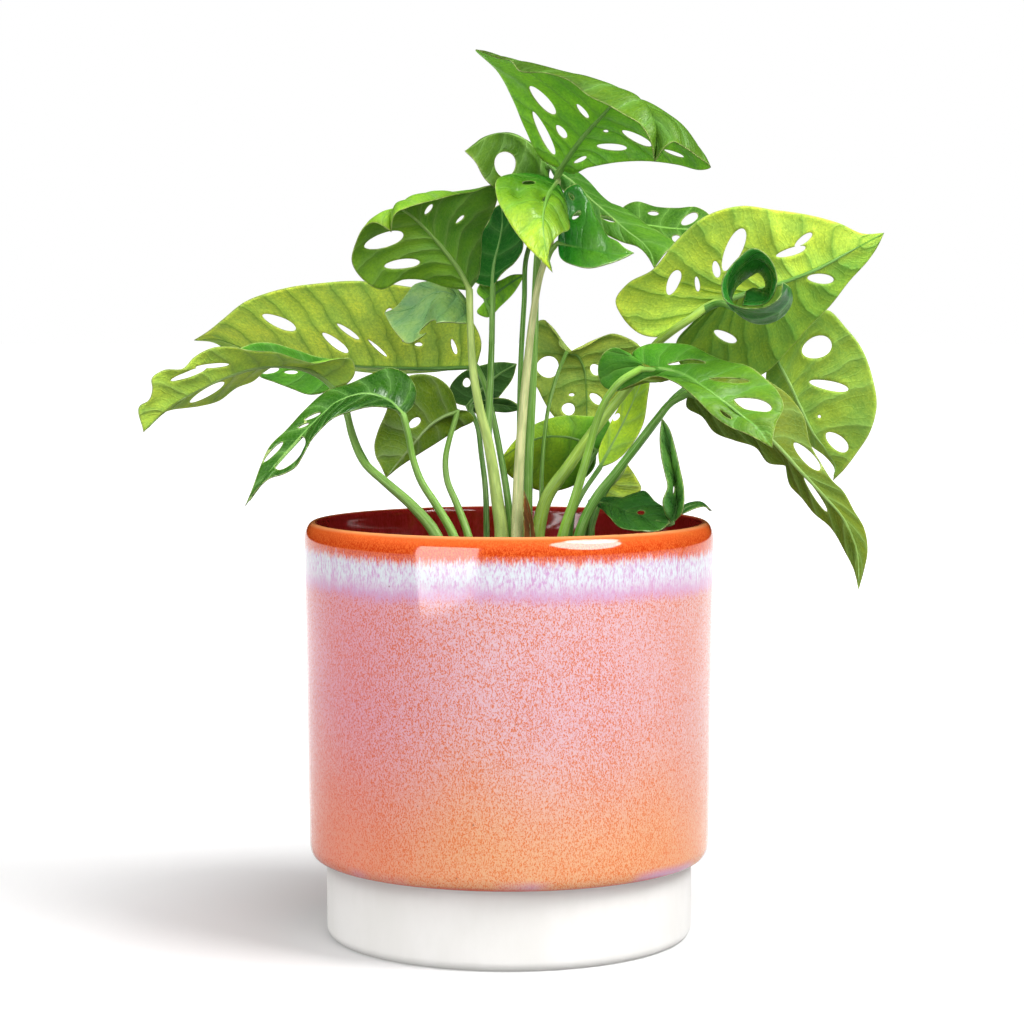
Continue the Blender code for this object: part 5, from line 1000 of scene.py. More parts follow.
class Shader:
    """A Principled material whose nodes are added one call at a time."""

    def __init__(self, name, roughness=0.5, **settings):
        self.material = bpy.data.materials.new(name)
        self.material.use_nodes = True
        self.tree = self.material.node_tree
        self.principled = self.tree.nodes["Principled BSDF"]
        self.principled.inputs["Roughness"].default_value = roughness
        for key, value in settings.items():
            title = key.replace("_", " ").title().replace("Ior", "IOR")
            self.principled.inputs[title].default_value = value

    def node(self, kind, inputs, output=0, **settings):
        made = self.tree.nodes.new(kind)
        for key, value in settings.items():
            setattr(made, key, value)
        for key, value in inputs.items():
            self.plug(value, made.inputs[key])
        return made.outputs[output]

    def plug(self, value, socket):
        if isinstance(value, bpy.types.NodeSocket):
            self.tree.links.new(value, socket)
        else:
            socket.default_value = value

    def math(self, operation, a, b):
        return self.node("ShaderNodeMath", {0: a, 1: b}, operation=operation)

    def add(self, a, b):
        return self.math("ADD", a, b)

    def less(self, a, b):
        return self.math("SUBTRACT", a, b)

    def times(self, a, b):
        return self.math("MULTIPLY", a, b)

    def ease(self, value, low, high, start=0.0, end=1.0):
        """start below low, end above high, eased between; low is under high."""
        return self.node("ShaderNodeMapRange", {"Value": value, "From Min": low, "From Max": high,
                                                "To Min": start, "To Max": end},
                         interpolation_type="SMOOTHSTEP")

    def mix(self, share, a, b, blend_type="MIX"):
        a, b = ((*value, 1.0) if isinstance(value, (tuple, Color)) else value for value in (a, b))
        return self.node("ShaderNodeMix", {0: share, 6: a, 7: b}, 2, data_type="RGBA",
                         blend_type=blend_type)

    def tinted(self, share, base, factor):
        """The base, multiplied by the factor where the share is 1."""
        return self.mix(share, base, self.mix(1.0, base, factor, "MULTIPLY"))

    def noise(self, vector, scale, detail=2.0, roughness=0.5):
        return self.node("ShaderNodeTexNoise", {"Vector": vector, "Scale": scale, "Detail": detail,
                                                "Roughness": roughness})

    def stretched(self, vector, scale):
        return self.node("ShaderNodeMapping", {"Vector": vector, "Scale": scale})

    def objects(self):
        return self.node("ShaderNodeTexCoord", {}, "Object")

    def position(self, axis):
        """One coordinate of the piece in millimetres."""
        return self.times(self.node("ShaderNodeSeparateXYZ", {"Vector": self.objects()}, axis), 1 / MM)

    def attribute(self, name, output="Fac"):
        return self.node("ShaderNodeAttribute", {}, output, attribute_name=name)

    def bump(self, height, strength, distance):
        made = self.node("ShaderNodeBump", {"Height": height, "Strength": strength,
                                            "Distance": distance * MM})
        self.plug(made, self.principled.inputs["Normal"])

    def colour(self, value):
        self.plug(value, self.principled.inputs["Base Color"])

    def rough(self, value):
        self.plug(value, self.principled.inputs["Roughness"])

    def glow(self, strength):
        self.principled.inputs["Emission Color"].default_value = (1, 1, 1, 1)
        self.plug(strength, self.principled.inputs["Emission Strength"])


# How much stronger red swings than green between a leaf's darker and paler blotches.
RED_POWER = 1.7


def blade_material(name, roughness, settings):
    """Leaf blade: blotched tissue, dark or pale veins with a fine net, a thin pale cut edge."""
    leaf = Shader(name, roughness, specular_ior_level=settings.leaf_sheen * (MATT / roughness) ** 2)
    uv = leaf.node("ShaderNodeUVMap", {}, uv_map="surface")
    tint, vein = leaf.attribute("tint", "Color"), leaf.attribute("vein", "Color")
    side, gap, rib = leaf.attribute("side"), leaf.attribute("gap"), leaf.attribute("rib")
    wander = leaf.times(leaf.less(leaf.noise(uv, 14, 3), 0.5), 0.3)
    phase = leaf.add(leaf.attribute("phase"), wander)
    near = leaf.times(leaf.math("PINGPONG", phase, 0.5), gap)
    fine_phase = leaf.times(leaf.add(phase, wander), 4.0)
    fine = leaf.times(leaf.math("PINGPONG", fine_phase, 0.5), leaf.times(gap, 0.25))
    warped = leaf.node("ShaderNodeVectorMath", {0: uv, 1: leaf.node("ShaderNodeVectorMath", {
        0: leaf.node("ShaderNodeTexNoise", {"Vector": uv, "Scale": 30.0}, "Color"), "Scale": 0.02},
        operation="SCALE")}, operation="ADD")
    net = leaf.node("ShaderNodeTexVoronoi", {"Vector": warped, "Scale": 55.0}, "Distance",
                    feature="DISTANCE_TO_EDGE", voronoi_dimensions="2D")
    cloud = leaf.ease(leaf.noise(uv, 7, 4, 0.62), 0.3, 0.7, 0.84, 1.13)
    grain = leaf.ease(leaf.noise(uv, 95, 4, 0.75), 0.32, 0.68, 0.86, 1.12)
    both = leaf.times(cloud, grain)
    blotch = leaf.node("ShaderNodeCombineColor", {
        "Red": leaf.math("POWER", both, RED_POWER), "Green": both, "Blue": grain})
    base = leaf.mix(1.0, tint, blotch, "MULTIPLY")
    base = leaf.tinted(leaf.ease(near, 0.2, 2.6, 0.0, 0.16), base, (1.9, 1.5, 1.0))
    for away, low, high, strength in ((near, 0.0, 2.4, 0.26), (net, 0.0, 0.12, 0.13),
                                      (fine, 0.0, 0.25, 0.12), (near, 0.05, 0.3, 0.28),
                                      (rib, 0.25, 0.8, 0.8)):
        base = leaf.mix(leaf.ease(away, low, high, strength, 0.0), base, vein)
    margin = leaf.attribute("edge")
    rim = leaf.ease(leaf.noise(uv, 60, 2), 0.35, 0.65, 0.25, 0.85)
    base = leaf.tinted(leaf.ease(margin, 0.2, 1.4, 0.3, 0.0), base, (1.8, 1.5, 1.2))
    rim = leaf.times(rim, leaf.ease(margin, 0.06, 0.34, 1.0, 0.0))
    base = leaf.mix(rim, base, settings.edge_colour)
    leaf.colour(base)
    leaf.rough(leaf.add(leaf.ease(leaf.noise(uv, 40, 3), 0.3, 0.7, roughness - 0.07, roughness + 0.09),
                        leaf.times(leaf.less(1.0, side), 0.1)))
    height = leaf.add(leaf.ease(near, 0.0, 0.9), leaf.times(leaf.ease(net, 0.0, 0.22), 0.15))
    height = leaf.add(height, leaf.times(leaf.ease(fine, 0.0, 0.4), 0.5))
    height = leaf.add(height, leaf.ease(near, 0.0, 5.0, 0.0, 2.5))
    height = leaf.times(height, leaf.less(leaf.times(side, 2.0), 1.0))
    height = leaf.add(height, leaf.times(leaf.noise(uv, 240, 3), 0.25))
    leaf.bump(height, 0.7, 0.18)
    return leaf.material


def stalk_material(name, settings):
    """Stalk and rib: streaked lengthwise, paler ridges, a few brown scars low down."""
    stalk = Shader(name, 0.33, specular_ior_level=settings.leaf_sheen)
    uv = stalk.node("ShaderNodeUVMap", {}, uv_map="surface")
    tint = stalk.attribute("tint", "Color")
    streak = stalk.noise(stalk.stretched(uv, (6.0, 160.0, 1.0)), 1.0, 3)
    patch = stalk.noise(stalk.stretched(uv, (12.0, 40.0, 1.0)), 1.0, 2)
    base = stalk.mix(stalk.ease(streak, 0.35, 0.7, 0.0, 0.55), tint, settings.stalk_pale)
    base = stalk.mix(stalk.ease(patch, 0.35, 0.7, 0.35, 0.0), base, settings.stalk_dark)
    height = stalk.node("ShaderNodeSeparateXYZ", {"Vector": stalk.objects()}, "Z")
    scar = stalk.times(stalk.ease(stalk.noise(uv, 190, 2), 0.62, 0.7),
                       stalk.ease(height, 0.13, 0.175, 0.7, 0.0))
    base = stalk.mix(scar, base, settings.scar_colour)
    stalk.colour(base)
    stalk.bump(streak, 0.3, 0.15)
    return stalk.material


# How much narrower the inside is below the lip, and how much more so towards the floor.
THICKER, TAPERED = 0.6, 1.4


def inner_radius(height):
    """Radius of the pot's inside at a height, following the outside's slight taper."""
    return POT_RADIUS - WALL - THICKER - TAPERED * (POT_HEIGHT - height) / POT_HEIGHT


def rounded(corners, step=1.6):
    """Profile points through (radius, height, rounding) corners.

    A corner becomes the quadratic a(1-x)^2 + 2c x(1-x) + b x^2 between two points that lie
    its rounding away from it; straight stretches are filled in at the step.
    """
    c = np.array(corners, float)
    made = [c[:1, :2]]
    x = np.linspace(0, 1, 9)[:, None]
    for before, here, after in zip(c, c[1:], c[2:]):
        ends = []
        for other in (before, after):
            way = other[:2] - here[:2]
            ends.append(here[:2] + way * min(0.49, here[2] / np.linalg.norm(way)))
        made.append(ends[0] * (1 - x) ** 2 + 2 * here[:2] * x * (1 - x) + ends[1] * x * x)
    made = np.vstack(made + [c[-1:, :2]])
    run = np.concatenate([[0], np.cumsum(np.linalg.norm(np.diff(made, axis=0), axis=1))])
    share = np.unique(np.concatenate([run, np.arange(0, run[-1], step)]))
    share = share[np.concatenate([[True], np.diff(share) > 0.02])]
    return np.stack([np.interp(share, run, made[:, k]) for k in range(2)], 1)


def turned(profile, steps):
    """A surface of revolution: (r cos a, r sin a, z) for profile rows and evenly spaced angles.

    The profile runs from the axis down the inside to the axis below; both ends close in a pole.
    """
    rows = profile[1:-1]
    angle = np.arange(steps) * 2 * np.pi / steps
    ring = np.stack([rows[:, :1] * np.cos(angle), rows[:, :1] * np.sin(angle),
                     np.repeat(rows[:, 1:], steps, 1)], -1)
    points = np.concatenate([ring.reshape(-1, 3), [[0, 0, profile[0, 1]], [0, 0, profile[-1, 1]]]])
    a, b, c, d = quads(len(rows), steps)
    skin = np.stack([a, d, c, a, c, b], -1).reshape(-1, 3)
    j = np.arange(steps)
    last = (len(rows) - 1) * steps
    first_pole = np.stack([j, (j + 1) % steps, np.full(steps, len(points) - 2)], 1)
    last_pole = np.stack([last + (j + 1) % steps, last + j, np.full(steps, len(points) - 1)], 1)
    return points, np.concatenate([skin, first_pole, last_pole])


# The lip: how far its crest stands inside the pot's radius, and each side's reach and fall.
LIP_CREST = 3.3
LIP_INNER = (1.7, 2.6)
LIP_OUTER = (3.3, 6.5)


def pot_profile():
    """The pot's profile from the middle of its inside floor over the lip to the middle below.

    The lip is two quarter ellipses that meet at its crest, (reach cos a, fall sin a) each.
    """
    well = FOOT_RADIUS - WALL
    top = POT_HEIGHT
    inside = rounded([
        (0, FLOOR, 0), (well, FLOOR, 6), (well, FOOT_HEIGHT + 1, 3),
        (inner_radius(FOOT_HEIGHT + 9), FOOT_HEIGHT + 9, 5), (inner_radius(top - 9), top - 9, 4),
        (POT_RADIUS - LIP_CREST - LIP_INNER[0], top - LIP_INNER[1], 0)])
    outside = rounded([
        (POT_RADIUS, top - LIP_OUTER[1], 0), (POT_RADIUS - 0.1, top - 20, 8),
        (POT_RADIUS - 0.6, 95, 20), (POT_RADIUS - 1.5, FOOT_HEIGHT + 0.1, 5.2),
        (FOOT_RADIUS + 0.5, FOOT_HEIGHT - 0.3, 0.6), (FOOT_RADIUS, FOOT_HEIGHT - 1.4, 0.7),
        (FOOT_RADIUS - 0.1, 0, 3.4), (0, 0, 0)])
    lip = []
    for (reach, fall), way, turn in ((LIP_INNER, -1, np.linspace(0, 1, 10)[1:]),
                                     (LIP_OUTER, 1, np.linspace(1, 0, 18)[1:-1])):
        angle = turn * np.pi / 2
        lip.append(np.stack([POT_RADIUS - LIP_CREST + way * reach * np.cos(angle),
                             top - fall + fall * np.sin(angle)], 1))
    return np.vstack([inside] + lip + [outside])


# What the glaze's colours are multiplied by towards the pot's left and right edge as the eye sees them:
# painted shade on both sides, partly the glaze's own pinker colour on the left and warmer colour on the
# right.
LEFT_SHADE_AND_TONE = (0.98, 0.58, 0.68)
RIGHT_SHADE_AND_TONE = (0.96, 0.84, 0.7)
# How far the edges of its colours wander round the pot, hang in drips and fray in fine
# runs, in millimetres, and over what height above and below the pink turns to peach.
SWING, DRIP, RUN = 5.0, 3.5, 8.0
PEACH_REACH = 28


def glaze_material(settings):
    """Layered glaze: orange lip, pale lilac run, speckled pink fading to peach, bare foot."""
    pot = Shader("glazed_ceramic", settings.gloss)
    spot = pot.objects()
    place_z = pot.position("Z")
    flat = pot.stretched(spot, (1.0, 1.0, 0.0))
    radius = pot.times(pot.node("ShaderNodeVectorMath", {0: flat}, "Value", operation="LENGTH"), 1 / MM)
    swing = pot.less(pot.noise(flat, 17, 1), 0.5)
    run = pot.less(pot.noise(pot.stretched(spot, (1.0, 1.0, 0.22)), 1900, 3, 0.75), 0.5)
    drip = pot.less(pot.noise(pot.stretched(spot, (1.0, 1.0, 0.12)), 380, 2), 0.5)
    level = pot.add(place_z, pot.times(swing, SWING))
    level = pot.add(level, pot.times(drip, DRIP))
    level = pot.add(level, pot.times(run, RUN))
    speck = pot.add(pot.times(pot.noise(pot.stretched(spot, (1.0, 1.0, 0.6)), 3000, 1), 0.5),
                    pot.times(pot.noise(pot.stretched(spot, (1.0, 1.0, 0.5)), 1800, 3, 0.65), 0.5))
    cloud = pot.times(pot.less(pot.noise(spot, 45, 2), 0.5), 0.08)
    grain = pot.ease(pot.add(speck, cloud), 0.4, 0.56)
    peach = settings.peach_height / MM
    fall = pot.ease(pot.add(level, pot.times(swing, 30.0)), peach - PEACH_REACH, peach + PEACH_REACH)
    ground = pot.mix(fall, settings.peach_dark, settings.pink_dark)
    fleck = pot.mix(fall, settings.peach_light, settings.pink_light)
    base = pot.mix(grain, ground, fleck)
    across = pot.position("X")
    # Painted shade towards the left and the right edge, partly the glaze's own pinker and warmer colour
    # there.
    base = pot.tinted(pot.ease(across, -POT_RADIUS, 0.0, 1.0, 0.0), base, LEFT_SHADE_AND_TONE)
    base = pot.tinted(pot.ease(across, 20.0, POT_RADIUS), base, RIGHT_SHADE_AND_TONE)
    high = pot.noise(pot.stretched(spot, (1.0, 1.0, 0.33)), 1500, 3, 0.7)
    tall = pot.noise(pot.stretched(spot, (1.0, 1.0, 0.1)), 420, 2)
    streak = pot.add(pot.times(high, 0.8), pot.times(tall, 0.2))
    lilac = pot.mix(pot.ease(streak, 0.36, 0.58), settings.lilac_deep, settings.lilac_pale)
    low_edge = settings.lilac_height / MM
    base = pot.mix(pot.ease(level, low_edge - 4.5, low_edge + 1.0, 0.0, 0.8), base, settings.lilac_deep)
    base = pot.mix(pot.ease(level, low_edge - 1.5, low_edge + 5.5), base, lilac)
    orange = pot.mix(pot.ease(speck, 0.4, 0.62), settings.orange_deep, settings.orange)
    lip_edge = settings.orange_height / MM
    base = pot.mix(pot.ease(level, lip_edge - 1.6, lip_edge + 1.6), base, orange)
    base = pot.mix(pot.ease(place_z, POT_HEIGHT - 5, POT_HEIGHT - 1, 0.0, 0.6), base, settings.orange)
    base = pot.mix(pot.ease(place_z, POT_HEIGHT - 1.2, POT_HEIGHT - 0.1, 0.0, 0.8), base, settings.crest)
    foot_line = pot.add(place_z, pot.times(swing, 2.5))
    smear = pot.times(pot.ease(foot_line, FOOT_HEIGHT + 1.0, FOOT_HEIGHT + 4.5, 0.8, 0.0),
                      pot.ease(pot.noise(flat, 26, 2), 0.45, 0.62))
    base = pot.mix(smear, base, settings.lilac_deep)
    ring = pot.ease(foot_line, FOOT_HEIGHT, FOOT_HEIGHT + 1.3, 0.85, 0.0)
    base = pot.mix(ring, base, settings.orange_deep)
    dots = pot.node("ShaderNodeTexVoronoi", {"Vector": spot, "Scale": 100.0}, "Distance")
    base = pot.mix(pot.ease(dots, 0.022, 0.038, 0.7, 0.0), base, settings.dot_colour)
    within = pot.times(pot.ease(radius, POT_RADIUS - 4.4, POT_RADIUS - 3.0, 1.0, 0.0),
                       pot.ease(place_z, 1, 2))
    inner = pot.mix(pot.ease(pot.add(level, pot.times(drip, 20.0)), 118, 136),
                    settings.inner_low, settings.inner_high)
    inner = pot.mix(pot.ease(streak, 0.35, 0.65, 0.0, 0.35), inner, settings.inner_low)
    base = pot.mix(within, base, inner)
    line = pot.add(place_z, swing)
    bare_foot = pot.times(pot.ease(radius, FOOT_RADIUS + 0.8, FOOT_RADIUS + 1.4, 1.0, 0.0),
                          pot.ease(line, FOOT_HEIGHT - 0.5, FOOT_HEIGHT - 0.2, 1.0, 0.0))
    hidden = pot.times(within, pot.ease(radius, FOOT_RADIUS - WALL - 0.1, FOOT_RADIUS - WALL, 1.0, 0.0))
    bare_foot = pot.times(bare_foot, pot.less(1.0, hidden))
    clay = pot.mix(pot.ease(pot.noise(pot.stretched(spot, (1.0, 1.0, 0.4)), 60, 5, 0.6), 0.3, 0.7),
                   settings.clay, settings.clay_shade)
    base = pot.mix(bare_foot, base, clay)
    pot.colour(base)
    pot.rough(pot.add(settings.gloss, pot.times(bare_foot, 0.55)))
    pot.bump(pot.add(pot.times(speck, 0.2), pot.noise(spot, 60, 1)), 0.1, 0.1)
    return pot.material


def soil_material():
    """Potting mix: near-black to warm brown crumb with pale fibres."""
    mix = Shader("potting_mix", 0.9)
    spot = mix.objects()
    tone = mix.noise(spot, 420, 5, 0.7)
    base = mix.mix(mix.ease(tone, 0.35, 0.68), (0.012, 0.007, 0.004), (0.085, 0.05, 0.028))
    fleck = mix.ease(mix.noise(spot, 900, 1), 0.68, 0.72)
    base = mix.mix(fleck, base, (0.22, 0.15, 0.09))
    mix.colour(base)
    mix.bump(tone, 0.9, 1.2)
    return mix.material


def soil_profile():
    """The mix inside the pot: a gentle mound, the wall's inside a hair away, the floor."""
    well = FOOT_RADIUS - WALL
    gap = 0.3
    rim = inner_radius(SOIL_TOP) - gap
    return rounded([
        (0, SOIL_TOP - 0.2, 0), (35, SOIL_TOP - 1.4, 10), (rim, SOIL_TOP - 2.6, 1.5),
        (inner_radius(FOOT_HEIGHT + 9) - gap, FOOT_HEIGHT + 9 + gap, 3),
        (well - gap, FOOT_HEIGHT + 1 + gap, 3), (well - gap, FLOOR + gap, 5), (0, FLOOR + gap, 0)])


# Crumbs: least and greatest radius in millimetres, squash and lumpiness as factors, how far
# they stay from the wall, and how deep they lie in the middle and towards the wall.
CRUMB_RADIUS, CRUMB_SQUASH, CRUMB_LUMPS = (0.8, 2.6), (0.45, 1.0), (0.75, 1.15)
CRUMB_MARGIN = 3.5
CRUMB_DEPTH, CRUMB_FALL, CRUMB_BEND = 0.6, 2.2, 1.5


def crumbs(count, seed):
    """Bark crumbs strewn on the mix: squashed, turned octahedra cut once finer, as one mesh."""
    draw = np.random.default_rng(seed)
    eight = np.array([(1, 0, 0), (-1, 0, 0), (0, 1, 0), (0, -1, 0), (0, 0, 1), (0, 0, -1)], float)
    big = np.array([(0, 2, 4), (2, 1, 4), (1, 3, 4), (3, 0, 4),
                    (2, 0, 5), (1, 2, 5), (3, 1, 5), (0, 3, 5)])
    edges = np.sort(big[:, [0, 1, 1, 2, 2, 0]].reshape(-1, 2), axis=1)
    pairs, back = np.unique(edges, axis=0, return_inverse=True)
    mids = back.reshape(-1, 3) + 6
    shape = np.vstack([eight, eight[pairs].mean(1)])
    shape /= np.linalg.norm(shape, axis=1, keepdims=True)
    a, b, c = big.T
    ab, bc, ca = mids.T
    corners = (a, ab, ca), (ab, b, bc), (ca, bc, c), (ab, bc, ca)
    small = np.concatenate([np.stack(three, 1) for three in corners])
    size = draw.uniform(*CRUMB_RADIUS, (count, 1)) * draw.uniform(*CRUMB_SQUASH, (count, 3))
    lumpy = shape * draw.uniform(*CRUMB_LUMPS, (count, len(shape), 1))
    turn, _ = np.linalg.qr(draw.normal(size=(count, 3, 3)))
    turn *= np.sign(np.linalg.det(turn))[:, None, None]
    away = np.sqrt(draw.uniform(0, 1, count)) * (inner_radius(SOIL_TOP) - CRUMB_MARGIN)
    angle = draw.uniform(0, 2 * np.pi, count)
    height = SOIL_TOP - CRUMB_DEPTH - CRUMB_FALL * (away / inner_radius(SOIL_TOP)) ** CRUMB_BEND
    centre = np.stack([away * np.cos(angle), away * np.sin(angle), height], 1)
    points = np.einsum("nij,nkj->nki", turn, lumpy * size[:, None]) + centre[:, None]
    faces = small[None] + np.arange(count)[:, None, None] * len(shape)
    return points.reshape(-1, 3), faces.reshape(-1, 3)


def bark_material():
    """Bark crumbs: brown, some greyer, rough."""
    bark = Shader("bark", 0.85)
    spot = bark.objects()
    tone = bark.ease(bark.noise(spot, 180, 2), 0.35, 0.65)
    base = bark.mix(tone, (0.02, 0.011, 0.006), (0.13, 0.075, 0.04))
    base = bark.mix(bark.ease(bark.noise(spot, 1500, 3), 0.5, 0.7, 0.0, 0.5), base, (0.2, 0.14, 0.09))
    bark.colour(base)
    bark.bump(bark.noise(spot, 1300, 3), 0.6, 0.4)
    return bark.material


def colour_setting(name, description, code):
    """A colour property from its sRGB hex code."""
    return FloatVectorProperty(name=name, description=description, subtype="COLOR", default=shade(code))


class PotSettings(bpy.types.PropertyGroup):
    """Sizes and glaze colours of the pot."""
    steps: IntProperty(name="Steps around", description="Faces around the pot", default=288, min=48)
    gloss: FloatProperty(name="Roughness", description="Roughness of the glaze", default=0.07,
                         subtype="FACTOR")
    orange_height: FloatProperty(name="Orange from", description="Height where the orange lip begins",
                                 default=0.1335, unit="LENGTH")
    lilac_height: FloatProperty(name="Lilac from", description="Height where the pale run begins",
                                default=0.123, unit="LENGTH")
    peach_height: FloatProperty(name="Peach below", description="Height around which pink turns to peach",
                                default=0.060, unit="LENGTH")
    orange: colour_setting("Orange", "Glaze on the lip", "df672d")
    orange_deep: colour_setting("Deep orange", "Thick glaze on the lip", "bf3409")
    lilac_pale: colour_setting("Pale lilac", "Pale streaks of the run", "ced5d9")
    lilac_deep: colour_setting("Deep lilac", "Pink streaks of the run", "c08fbd")
    pink_dark: colour_setting("Coral", "Ground of the speckle above", "ca643a")
    pink_light: colour_setting("Pink", "Flecks above", "d2aab4")
    peach_dark: colour_setting("Deep peach", "Ground of the speckle below", "d56e2f")
    peach_light: colour_setting("Light peach", "Flecks below", "dea578")
    crest: colour_setting("Crest", "Thin glaze on top of the lip", "dc935e")
    inner_high: colour_setting("Inside above", "Glaze inside, near the lip", "761303")
    inner_low: colour_setting("Inside below", "Glaze inside, lower", "aa2e3d")
    dot_colour: colour_setting("Dots", "Dark specks in the glaze", "6c2a20")
    clay: colour_setting("Bare clay", "Unglazed foot", "eae8e5")
    clay_shade: colour_setting("Clay shade", "Duller parts of the foot", "e4e2de")


class LeafSettings(bpy.types.PropertyGroup):
    """Thickness, relief and shared colours of the leaves."""
    leaf_sheen: FloatProperty(name="Sheen", description="Strength of the skin's mirror-like reflection",
                              default=0.09, subtype="FACTOR", min=0.0, max=1.0)
    thickness: FloatProperty(name="Thickness", description="Blade thickness away from its edges",
                             default=0.0006, unit="LENGTH")
    puff: FloatProperty(name="Swelling", description="Rise of the blade between two side veins",
                        default=0.00045, unit="LENGTH")
    edge_colour: colour_setting("Edge", "Pale cut edge", "b4c874")
    stalk_pale: colour_setting("Pale streaks", "Streaks along the stalks", "b4d088")
    stalk_dark: colour_setting("Dark streaks", "Dark stretches of the stalks", "4c7c2c")
    scar_colour: colour_setting("Scars", "Brown scars low on the stalks", "6c4c24")


class MixSettings(bpy.types.PropertyGroup):
    """The potting mix."""
    crumbs: IntProperty(name="Bark crumbs", description="Crumbs strewn on the mix", default=650, min=0)
    seed: IntProperty(name="Seed", description="Which strewing", default=5)


# Corners of the window as the glaze mirrors it: (across, up) where the eye sees them, how
# far from the glaze it hangs, and how tall its upper pane is, in millimetres.
UPPER_PANE = [(-32.1, 117.0), (-10.6, 117.8)]
LOWER_PANE = [(-31.6, 115.1), (-9.7, 112.3), (-9.7, 111.0), (-16.9, 103.5), (-23.7, 98.7), (-30.6, 97.5)]
WINDOW_REACH = 700.0
PANE_HEIGHT = 420.0
# Where each round lamp hangs and its width, in metres.
KEY_AT, KEY_SIZE = (0.99, -0.57, 1.41), 0.8
FILL_AT, FILL_SIZE = (0.31, -1.77, 1.41), 2.0
SIDE_AT, SIDE_SIZE = (-0.9, -0.3, 1.3), 1.2
DISC_AT, DISC_SIZE = (1.14, -1.03, 1.14), 1.25
LAMPS_LOOK_AT = (0, 0, 0.15)
# The floor's height in millimetres, the radii of its rings and of the dome in metres, and
# the corners of a ring; from, to and rise of the floor's glow over the distance in metres.
FLOOR_DROP = -0.05
DOME = 12.0
FLOOR_RINGS = (0.25, 0.5, 1, 2, 4, 8, DOME)
RING_CORNERS = 96
NEAR_GLOW, FAR_GLOW = (0.07, 0.21, 0.3), (0.2, 0.9, 0.5)


class StageSettings(bpy.types.PropertyGroup):
    """Floor and light."""
    floor: FloatVectorProperty(name="Floor", description="Floor colour", subtype="COLOR",
                               default=(0.78, 0.78, 0.78))
    glow: FloatProperty(name="Floor glow", description="Light the floor gives near the pot", default=0.0)
    sky: FloatProperty(name="Surrounding light", description="Strength of the even light", default=0.55)
    key: FloatProperty(name="Key light", description="Power of the light on the right, in watts",
                       default=26.0)
    fill: FloatProperty(name="Fill light", description="Power of the very large light in front, in watts",
                        default=28.0)
    side: FloatProperty(name="Side light", description="Power of the light at the upper left, in watts",
                        default=14.0)
    disc: FloatProperty(name="Mirrored light", default=60.0,
                        description="Power of the light seen only in the gloss, in watts")
    window: FloatProperty(name="Window", description="Brightness of the window seen in the glaze",
                          default=8.0)


# Unevenness of the pot and of the mix: rise and length in millimetres, and a seed.
POT_WAVE, POT_WAVE_LENGTH, POT_WAVE_SEED = 0.07, 45, 3
MIX_WAVES = ((0.9, 9, 2), (0.5, 3.5, 4))
MIX_SINK = 0.6
MIX_STEPS = 160


class PLANT_OT_pot(bpy.types.Operator):
    """Turns the glazed pot"""
    bl_idname = "plant.pot"
    bl_label = "Pot"

    def execute(self, context):
        settings = context.scene.plant_pot
        points, faces = turned(pot_profile(), settings.steps)
        outward = points * (1, 1, 0) / np.maximum(np.linalg.norm(points[:, :2], axis=1), 1e-9)[:, None]
        points = points + outward * (POT_WAVE * ripple(points, POT_WAVE_LENGTH, POT_WAVE_SEED))[:, None]
        piece = mesh_object("glazed_pot", dict(points=points, faces=faces), [glaze_material(settings)])
        own(piece, "pot")
        return {"FINISHED"}


class PLANT_OT_mix(bpy.types.Operator):
    """Fills the pot with potting mix and strews bark on it"""
    bl_idname = "plant.mix"
    bl_label = "Potting mix"

    def execute(self, context):
        settings = context.scene.plant_mix
        points, faces = turned(soil_profile(), MIX_STEPS)
        top = smooth(SOIL_TOP - 4, SOIL_TOP - 2.8, points[:, 2])
        waves = sum(rise * ripple(points, length, draw) for rise, length, draw in MIX_WAVES)
        points[:, 2] += top * (waves - MIX_SINK)
        piece = mesh_object("mix_mound", dict(points=points, faces=faces), [soil_material()])
        own(piece, "soil")
        points, faces = crumbs(settings.crumbs, settings.seed)
        piece = mesh_object("bark_crumbs", dict(points=points, faces=faces), [bark_material()])
        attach(piece, "root")
        return {"FINISHED"}


def make_leaves(context, nodes):
    """The leaves of the named nodes, each a piece of its own that stands for its node."""
    settings = context.scene.plant_leaf
    stalk = bpy.data.materials.get("stalk") or stalk_material("stalk", settings)
    for node in nodes:
        for key in NODES[node]:
            roughness = GLOSS.get(key, MATT)
            name = f"blade_{round(roughness * 100)}"
            skin = bpy.data.materials.get(name) or blade_material(name, roughness, settings)
            blade = Blade(key)
            made = joined([blade_arrays(blade, settings), stalk_arrays(blade)])
            own(mesh_object(key, made, [skin, stalk]), node)
    return {"FINISHED"}


class PLANT_OT_crown(bpy.types.Operator):
    """Grows the leaves at the top of the plant"""
    bl_idname = "plant.crown"
    bl_label = "Crown leaves"

    def execute(self, context):
        return make_leaves(context, ["crown_leaves", "front_leaves", "leaf_behind_right"])


class PLANT_OT_left(bpy.types.Operator):
    """Grows the leaves on the left"""
    bl_idname = "plant.left"
    bl_label = "Left leaves"

    def execute(self, context):
        return make_leaves(context, ["left_stem", "leaf_light_left", "leaf_far_left", "leaf_slit_left",
                                     "leaf_olive_low", "leaf_dark_back"])


class PLANT_OT_right(bpy.types.Operator):
    """Grows the leaves on the right"""
    bl_idname = "plant.right"
    bl_label = "Right leaves"

    def execute(self, context):
        return make_leaves(context, ["leaf_heart_right", "leaf_back_right", "leaf_long_right",
                                     "leaf_arch_front"])


class PLANT_OT_low(bpy.types.Operator):
    """Grows the small leaves among the stalks, the withered leaf and the dry sheath"""
    bl_idname = "plant.low"
    bl_label = "Low leaves"

    def execute(self, context):
        return make_leaves(context, ["leaf_small_mid", "leaf_low_mid", "leaf_upright_mid", "leaf_low_right",
                                     "leaf_withered", "dry_sheath"])


